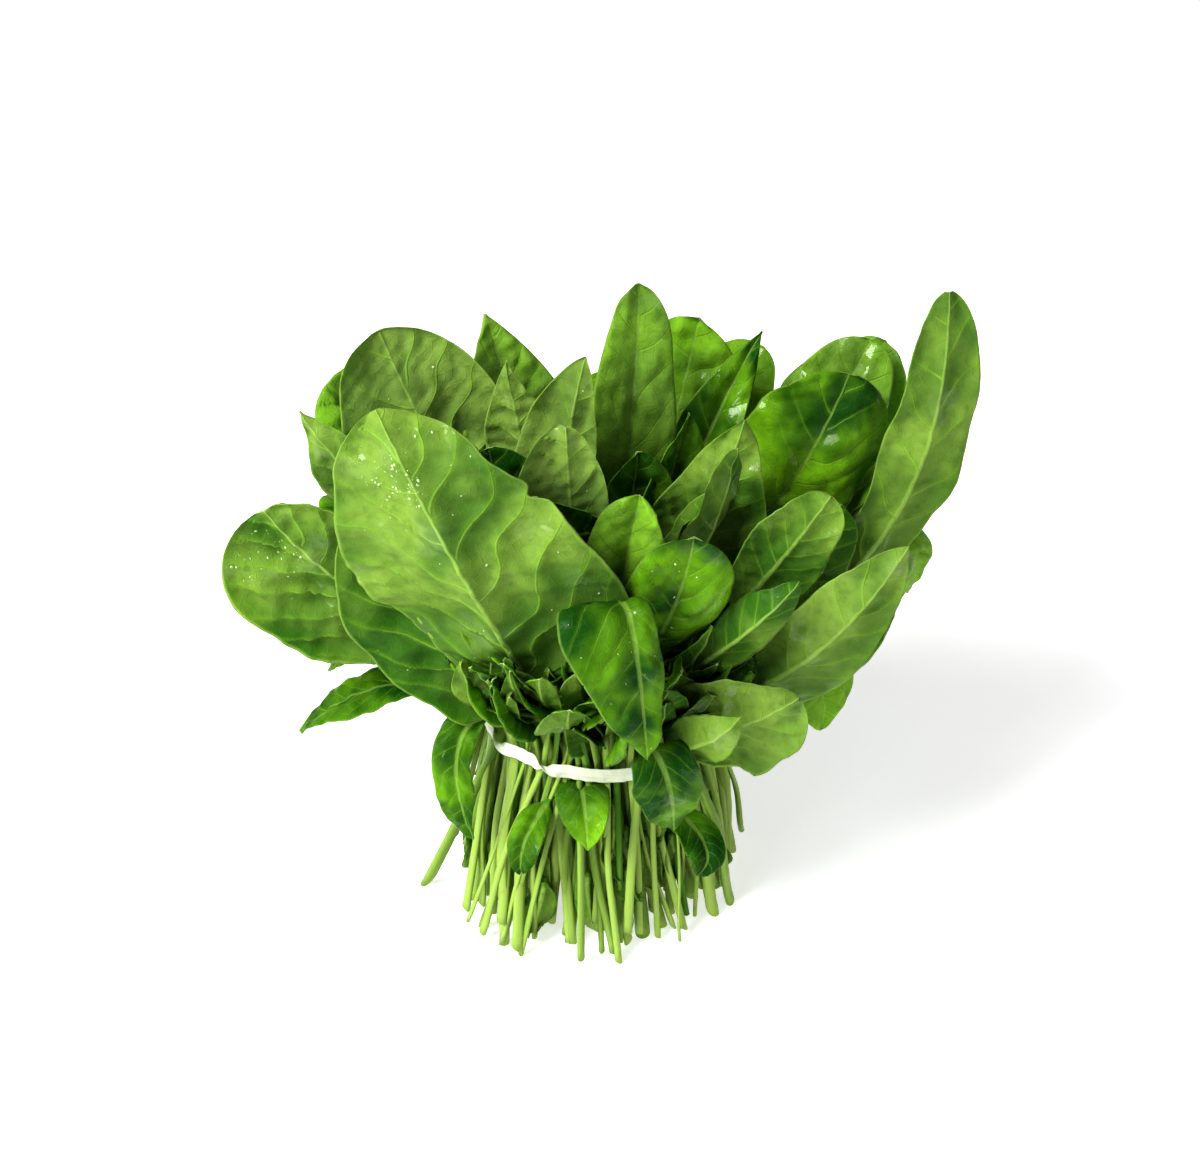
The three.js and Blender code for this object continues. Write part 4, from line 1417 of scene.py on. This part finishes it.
@dataclass
class Scraps:
    """Small leaves and torn bits caught between the stalks, round the tie and below it.

    Attributes:
        collar: how many stand just above the tie.
        facing: how many more of them lean out at the front.
        caught: how many are caught lower down.
        front: the two azimuths between which the front lies.
        length, width: the smallest and largest size of a bit's blade.
        collar_heights, caught_heights, front_heights: between which they come out from the stalks.
        collar_scale, front_scale: the size of those above the tie against the caught ones.
        front_lean: how much further out the ones at the front lean.
        seed: for their places and shapes.
    """

    collar: int = 56
    facing: int = 60
    caught: int = 64
    front: tuple[float, float] = (math.radians(212.0), math.radians(322.0))
    length: tuple[float, float] = (15.0, 35.0)
    width: tuple[float, float] = (8.0, 19.0)
    collar_heights: tuple[float, float] = (89.0, 106.0)
    caught_heights: tuple[float, float] = (26.0, 70.0)
    front_heights: tuple[float, float] = (91.0, 114.0)
    collar_scale: float = 1.45
    front_scale: float = 1.55
    front_lean: tuple[float, float] = (6.0, 20.0)
    seed: int = 613

    def build(self, leaf: bpy.types.Material, cut: bpy.types.Material) -> None:
        """Makes them, in one piece for each of the three groups.

        Args:
            leaf, cut: the finishes.
        """
        rng = np.random.default_rng(self.seed)
        turned = [i * GOLDEN_ANGLE + rng.uniform(-0.3, 0.3) for i in range(self.collar + self.caught)]
        above = [
            self._bit(i, rng, turned[i], rng.uniform(*self.collar_heights), True, self.collar_scale)
            for i in range(self.collar)
        ]
        below = [
            self._bit(i, rng, turned[i], rng.uniform(*self.caught_heights), False, 1.0)
            for i in range(self.collar, self.collar + self.caught)
        ]
        ahead = []
        for i in range(self.facing):
            angle, height = rng.uniform(*self.front), rng.uniform(*self.front_heights)
            lean = rng.uniform(*self.front_lean)
            ahead.append(self._bit(300 + i, rng, angle, height, True, self.front_scale, lean))
        for name, skins in (("collar_leaves", above), ("caught_leaves", below), ("front_small_leaves", ahead)):
            made = Skin.joined(skins).piece(name)
            dress(made, leaf, cut)

    def _bit(
        self,
        index: int,
        rng: np.random.Generator,
        angle: float,
        height: float,
        rises: bool,
        scale: float,
        further: float = 0.0,
    ) -> Skin:
        """One bit: a short leaf whose foot is buried between the stalks.

        Args:
            index: its number.
            rng: the random numbers.
            angle: the azimuth of the side it comes out on.
            height: where it comes out from between the stalks.
            rises: whether it points up, not down.
            scale: its size against the common one.
            further: how much further out than the others it leans.

        Returns:
            Its skin.
        """
        out = np.array([math.cos(angle), math.sin(angle)])
        edge = BUNDLE_RADIUS * (1.0 + (FOOT_SPREAD - 1.0) * max(0.0, 1.0 - height / TIE_HEIGHT))
        radius = edge - rng.uniform(1.0, 6.0)
        long = scale * rng.uniform(*self.length)
        way = 1.0 if rises else -1.0
        sway = rng.normal(0.0, 5.0) * np.array([-out[1], out[0]])
        lean = rng.uniform(2.0, 6.0) + (long * 0.25 if height > TIE_HEIGHT else 0.0)
        tip = (*(out * (radius + lean + 1.0 + further) + sway), max(4.0, height + way * long * 0.85))
        elbow = (*(out * (radius + lean + 0.6 * further)), max(5.0, height + way * long * 0.35))
        plan = LeafPlan(
            f"bit_{index}",
            tip,
            elbow,
            long,
            scale * rng.uniform(*self.width),
            (math.degrees(angle) + 90.0 * way + rng.normal(0.0, 25.0), rng.uniform(-20.0, 20.0)),
            rng.uniform(5.0, 30.0),
            rng.uniform(-50.0, 20.0),
            (Outline.OVAL, Outline.SPADE, Outline.POINTED, Outline.BROAD)[index % 4],
            float(rng.choice([-0.9, -0.7, -0.4, 0.3])),
            rng.uniform(1.5, 3.5),
        )
        return Leaf(
            plan,
            out * radius,
            height - 7.0,
            seed=8000 + 11 * index + int(height),
            grain=1.6,
            stalk_grain=3.0,
            habit=Habit(pillow=0.12, stalk=0.5, sprouts=height),
            crook=0.0,
            foot_spread=0.97,
        ).skin()


@dataclass
class TwistTie:
    """The paper twist tie round the bundle: a flat band with a wire inside, twisted together at the back.

    Attributes:
        width, thickness: of the band.
        radius: of the ring's middle.
        tilt: how far it drops for each millimetre to the right.
        twists: the azimuths where the band turns over.
        reach: half the arc that a turn takes, in degrees.
        bulge: how far a turn stands out.
        wire: how far the wire lifts the paper in the band's middle.
        ends_at: the azimuth of the twisted ends.
        ends_length, ends_turns, ends_width: of the twisted ends.
        waver, sag, crease: how far the band strays outwards and up, and how deep its creases are.
        pinch: how much narrower it is where it turns over.
        rings, around: rings round the band and points in each.
    """

    width: float = 6.5
    thickness: float = 0.45
    radius: float = BUNDLE_RADIUS + STALK_HALF_WIDTH + 2.0
    tilt: float = 0.05
    twists: tuple[float, ...] = (219.0, 246.0)
    reach: float = 7.0
    bulge: float = 1.8
    wire: float = 0.5
    ends_at: float = 92.0
    ends_length: float = 20.0
    ends_turns: float = 1.5
    ends_width: float = 4.0
    waver: float = 0.175
    sag: float = 0.4
    crease: float = 0.10
    pinch: float = 0.30
    rings: int = 900
    around: int = 28

    def _profile(self) -> tuple[np.ndarray, np.ndarray]:
        """The band's cross section: a flat lozenge, thickest over the wire.

        Returns:
            Shares of the way across, and millimetres through.
        """
        angle = np.linspace(0.0, FULL_TURN, self.around, endpoint=False)
        across = np.cos(angle)
        edge = np.sqrt(np.clip(1.0 - across**2, 0.0, 1.0)) ** 0.4
        wire = self.wire * np.exp(-((across * 0.5 * self.width / 0.75) ** 2))
        return across, np.sign(np.sin(angle)) * (0.5 * self.thickness * edge + wire * edge)

    def _band(self) -> Skin:
        """The ring: its profile carried round a tilted circle and turned over at each twist.

        Returns:
            Its skin.
        """
        azimuth = np.linspace(0.0, FULL_TURN, self.rings, endpoint=False)
        degrees = np.degrees(azimuth)
        turn = sum(math.pi * smooth(degrees, at - self.reach, at + self.reach) for at in self.twists)
        nearest = np.abs(degrees[:, None] - np.array(self.twists)).min(axis=1) / self.reach
        radius = self.radius + self.bulge * smooth(1.4 - nearest, 0.0, 1.0)
        along = azimuth * self.radius
        radius = radius + self.waver * Ripple(5, 40.0).at(along, 0.0 * azimuth)
        pinch = 1.0 - self.pinch * smooth(1.15 - nearest, 0.0, 1.0)
        outwards = np.stack([np.cos(azimuth), np.sin(azimuth), 0.0 * azimuth], axis=-1)
        centre = outwards * radius[:, None]
        centre[:, 2] = TIE_HEIGHT - self.tilt * centre[:, 0]
        centre[:, 2] += self.sag * Ripple(9, 60.0).at(along, 0.0 * azimuth)
        across, through = self._profile()
        crease = self.crease * Ripple(11, 4.0, 10).at(along[:, None], across[None, :] * 3.0)
        half = 0.5 * self.width * pinch[:, None] * across[None, :]
        depth = through[None, :] + crease * np.abs(across[None, :]) ** 0.5
        cosine, sine = np.cos(turn)[:, None], np.sin(turn)[:, None]
        up = half * cosine - depth * sine
        out = half * sine + depth * cosine
        points = centre[:, None] + outwards[:, None] * out[..., None] + UPWARD * up[..., None]
        return self._loop(points, self._strip(along, across))

    def _strip(self, along: np.ndarray, across: np.ndarray) -> np.ndarray:
        """The values that the paper's finish reads.

        Args:
            along: millimetres along the strip, one a ring.
            across: shares of the way across, one a point of a ring.

        Returns:
            Along, across and edge share, by ring and place in the ring.
        """
        half = 0.5 * (self.width - 0.1)
        return np.stack(np.broadcast_arrays(along[:, None], across * half, np.abs(across)), axis=-1)

    @staticmethod
    def _loop(points: np.ndarray, strip: np.ndarray) -> Skin:
        """Closes rings into a torus.

        Args:
            points: by ring and place in the ring.
            strip: their values, likewise.

        Returns:
            The skin.
        """
        rings, around = points.shape[:2]
        k = np.arange(rings)[:, None]
        i = np.arange(around)[None, :]
        after, turned = (k + 1) % rings, (i + 1) % around
        corners = [k * around + i, after * around + i, after * around + turned, k * around + turned]
        quads = np.stack(np.broadcast_arrays(*corners), axis=-1).reshape(-1, 4)
        return Skin(points.reshape(-1, 3), quads, np.zeros((0, 3), int), {"strip_map": strip.reshape(-1, 3)})

    def _ends(self) -> Skin:
        """The two ends, twisted together: their profile carried outwards and down as a screw.

        Returns:
            Their skin.
        """
        azimuth = math.radians(self.ends_at)
        outwards = np.array([math.cos(azimuth), math.sin(azimuth), 0.0])
        start = outwards * (self.radius + 0.5)
        start[2] = TIE_HEIGHT - self.tilt * start[0]
        run = unit(0.85 * outwards - 0.53 * UPWARD)
        beside = unit(np.cross(UPWARD, outwards))
        normal = np.cross(beside, run)
        share = np.linspace(0.0, 1.0, 90)
        turn = FULL_TURN * self.ends_turns * share
        across, through = self._profile()
        half = 0.5 * self.ends_width * across[None, :] * (1.0 - 0.25 * np.sin(3 * turn)[:, None] ** 2)
        depth = through[None, :] * 1.5
        cosine, sine = np.cos(turn)[:, None], np.sin(turn)[:, None]
        first = half * cosine - depth * sine
        second = half * sine + depth * cosine
        middle = start + run * (share * self.ends_length)[:, None]
        points = middle[:, None] + beside * first[..., None] + normal * second[..., None]
        strip = self._strip(share * self.ends_length, across)
        return Skin.tube(points, {"strip_map": [strip[..., k] for k in range(3)]})

    def build(self, paper: bpy.types.Material) -> None:
        """Makes and dresses the tie.

        Args:
            paper: its finish.
        """
        made = Skin.joined([self._band(), self._ends()]).piece("paper_twist_tie", flat_ends=False)
        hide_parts("twist_tie")
        dress(made, paper)


@dataclass(frozen=True)
class Splash:
    """Drops on one leaf.

    Attributes:
        name: the leaf's.
        count: how many.
        near, reach: the point they lie round, in millimetres, and how far from it.
    """

    name: str
    count: int
    near: tuple[float, float, float] = (0.0, 0.0, 0.0)
    reach: float = 1000.0


@dataclass
class WaterDrops:
    """Small drops left on the leaves from washing.

    Attributes:
        splashes: where they lie.
        smallest, largest: the radius of a drop.
        levels, widths: a drop's outline from under the leaf's skin to its top, over its radius.
        around: points round a drop.
        seed: for their places.
    """

    splashes: tuple[Splash, ...]
    smallest: float = 0.20
    largest: float = 0.65
    levels: tuple[float, ...] = (-0.15, 0.10, 0.26, 0.36, 0.40)
    widths: tuple[float, ...] = (0.80, 1.0, 0.82, 0.48, 0.16)
    around: int = 10
    seed: int = 909

    def build(self, leaves: list[Leaf], water: bpy.types.Material) -> None:
        """Makes the drops in one piece.

        Args:
            leaves: the grown leaves.
            water: the drops' finish.
        """
        rng = np.random.default_rng(self.seed)
        skins = []
        grown = {leaf.plan.name: leaf for leaf in leaves}
        for splash in self.splashes:
            skins.extend(self._on(grown[splash.name], splash, rng))
        made = Skin.joined(skins).piece("water_drops", flat_ends=False)
        dress(made, water)

    def _on(self, leaf: Leaf, splash: Splash, rng: np.random.Generator) -> list[Skin]:
        """Drops on the side of one leaf that faces outwards and up, at random points of its skin.

        Args:
            leaf: the leaf.
            splash: how many, and where.
            rng: the drops' random numbers.

        Returns:
            Their skins.
        """
        skin = leaf.skin()
        rings = skin.points[:-2].reshape(-1, leaf.around, 3)
        down = np.roll(rings, -1, axis=0) - rings
        over = np.roll(rings, -1, axis=1) - rings
        normal = np.cross(over, down).reshape(-1, 3)
        normal /= np.linalg.norm(normal, axis=1, keepdims=True) + 1e-9
        seen = normal @ unit(np.array([0.0, -0.8, 0.6]))
        t, q, _ = skin.values["leaf_form"][:-2].T
        away = np.linalg.norm(skin.points[:-2] - np.array(splash.near), axis=1)
        inner = (t > 0.08) & (t < 0.95) & (q < 0.9)
        fit = np.flatnonzero((seen > 0.3) & inner & (away < splash.reach))
        chosen = rng.choice(fit, min(splash.count, len(fit)), replace=False)
        return [self._drop(skin.points[k], normal[k], rng) for k in chosen]

    def _drop(self, place: np.ndarray, normal: np.ndarray, rng: np.random.Generator) -> Skin:
        """One drop: a flattened dome on the leaf, closed a little under its skin.

        Args:
            place: where it lies.
            normal: the way out of the leaf there.
            rng: the drops' random numbers.

        Returns:
            Its skin.
        """
        size = self.smallest + (self.largest - self.smallest) * rng.uniform() ** 2.5
        side = unit(np.cross(normal, unit(rng.normal(size=3))))
        other = np.cross(normal, side)
        levels, widths = np.array(self.levels), np.array(self.widths)
        angle = np.linspace(0.0, FULL_TURN, self.around, endpoint=False)
        shape = 1.0 + 0.12 * np.cos(2 * angle + rng.uniform(0, 6)) + 0.06 * np.cos(3 * angle)
        circle = (side * np.cos(angle)[:, None] + other * np.sin(angle)[:, None]) * shape[:, None]
        rings = place + size * (widths[:, None, None] * circle + levels[:, None, None] * normal)
        ends = np.stack([rings[0].mean(axis=0), rings[-1].mean(axis=0) + 0.02 * size * normal])
        quads, fans = tube_faces(len(levels), self.around)
        return Skin(np.concatenate([rings.reshape(-1, 3), ends]), quads, fans)


@dataclass(frozen=True)
class Lamp:
    """A square soft light.

    Attributes:
        name: the light's name.
        place: where it stands, in metres.
        size: the length of its side, in metres.
        power: in watts.
    """

    name: str
    place: tuple[float, float, float]
    size: float
    power: float


@dataclass
class Studio:
    """The table, the soft lights and the camera.

    Attributes:
        table_size: the table top's half side, in metres.
        lamps: a window at the left, a card opposite and a low strip that makes the wet leaves glint.
        lit: the point they all face, in metres.
        sky: the strength of the light from all round.
        contrast: the picture's gamma, below 1 for deeper shadows.
        target, distance, elevation: what the camera looks at, in metres, from how far and how steeply.
        lens, film: the camera's focal length and the width of its picture, in millimetres.
    """

    table_size: float = 3.0
    lamps: tuple[Lamp, ...] = (
        Lamp("window", (-1.65, -1.10, 2.00), 1.4, 120.0),
        Lamp("card", (1.50, -1.20, 1.10), 1.6, 7.0),
        Lamp("strip", (-0.62, -1.10, 0.36), 0.30, 3.0),
    )
    lit: tuple[float, float, float] = (0.0, 0.0, 0.12)
    sky: float = 0.22
    contrast: float = 0.80
    target: tuple[float, float, float] = (-0.00108345, -0.01132327, 0.139)
    distance: float = 0.750
    elevation: float = 33.0
    lens: float = 57.69
    film: float = 36.0

    def build(self, white: bpy.types.Material) -> None:
        """Sets the table, the lights, the world and the camera.

        Args:
            white: the table's finish.
        """
        self._table(white)
        for lamp in self.lamps:
            self._light(lamp)
        world = bpy.data.worlds.new("even_sky")
        world.use_nodes = True
        background = world.node_tree.nodes["Background"]
        background.inputs[0].default_value = (1.0, 1.0, 1.0, 1.0)
        background.inputs[1].default_value = self.sky
        bpy.context.scene.world = world
        bpy.context.scene.view_settings.view_transform = "Standard"
        bpy.context.scene.view_settings.gamma = self.contrast
        self._camera()

    def _table(self, white: bpy.types.Material) -> None:
        """A large flat square, its top at the height the bunch stands on.

        Args:
            white: its finish.
        """
        mesh = bpy.data.meshes.new("table_top")
        side = self.table_size
        mesh.from_pydata([(-side, -side, 0), (side, -side, 0), (side, side, 0), (-side, side, 0)], [], [(0, 1, 2, 3)])
        top = bpy.data.objects.new("table_top", mesh)
        bpy.context.scene.collection.objects.link(top)
        top.data.materials.append(white)

    def _light(self, lamp: Lamp) -> None:
        """Sets one lamp at its place, facing the bunch.

        Args:
            lamp: the lamp.
        """
        light = bpy.data.lights.new(lamp.name, "AREA")
        light.size = lamp.size
        light.energy = lamp.power
        made = bpy.data.objects.new(lamp.name, light)
        made.location = lamp.place
        made.rotation_euler = (Vector(self.lit) - Vector(lamp.place)).to_track_quat("-Z", "Y").to_euler()
        bpy.context.scene.collection.objects.link(made)

    def _camera(self) -> None:
        """The camera, in front of the bunch and looking down on it."""
        tilt = math.radians(self.elevation)
        aim = Vector(self.target)
        eye = aim + Vector((0.0, -math.cos(tilt), math.sin(tilt))) * self.distance
        data = bpy.data.cameras.new("front_camera")
        data.lens = self.lens
        data.sensor_width = self.film
        camera = bpy.data.objects.new("front_camera", data)
        camera.location = eye
        camera.rotation_euler = (aim - eye).to_track_quat("-Z", "Y").to_euler()
        bpy.context.scene.collection.objects.link(camera)
        bpy.context.scene.camera = camera


# The two clusters round a point, with the drops' painted white glints, make patches of painted sparkling highlight.
SPLASHES = (
    Splash("front_left_leaf_1", 30),
    Splash("front_left_leaf_1", 70, (-76.0, -65.0, 216.0), 16.0),
    Splash("front_left_leaf_2", 24),
    Splash("left_leaf_1", 20),
    Splash("left_leaf_1", 40, (-122.0, -30.0, 166.0), 15.0),
    Splash("left_leaf_5", 14),
    Splash("centre_left_leaf_2", 8),
    Splash("centre_left_leaf_3", 10),
    Splash("front_leaf_2", 8),
    Splash("front_leaf_3", 12),
    Splash("right_leaf_2", 6),
)


def main() -> None:
    """Builds the studio, then the bunch piece by piece."""
    logging.basicConfig(level=logging.INFO, format="%(message)s")
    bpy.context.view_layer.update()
    Studio().build(TableFinish().material())
    leaf, cut = LeafFinish().material(), CutFinish().material()
    bunch = Bunch()
    leaves = bunch.build(leaf, cut)
    StalkBundle().build(stalk_places(bunch.plans), leaf, cut)
    InnerLeaves().build(leaf, cut)
    Scraps().build(leaf, cut)
    TwistTie().build(PaperFinish().material())
    WaterDrops(SPLASHES).build(leaves, WaterFinish().material())


if __name__ == "__main__":
    main()
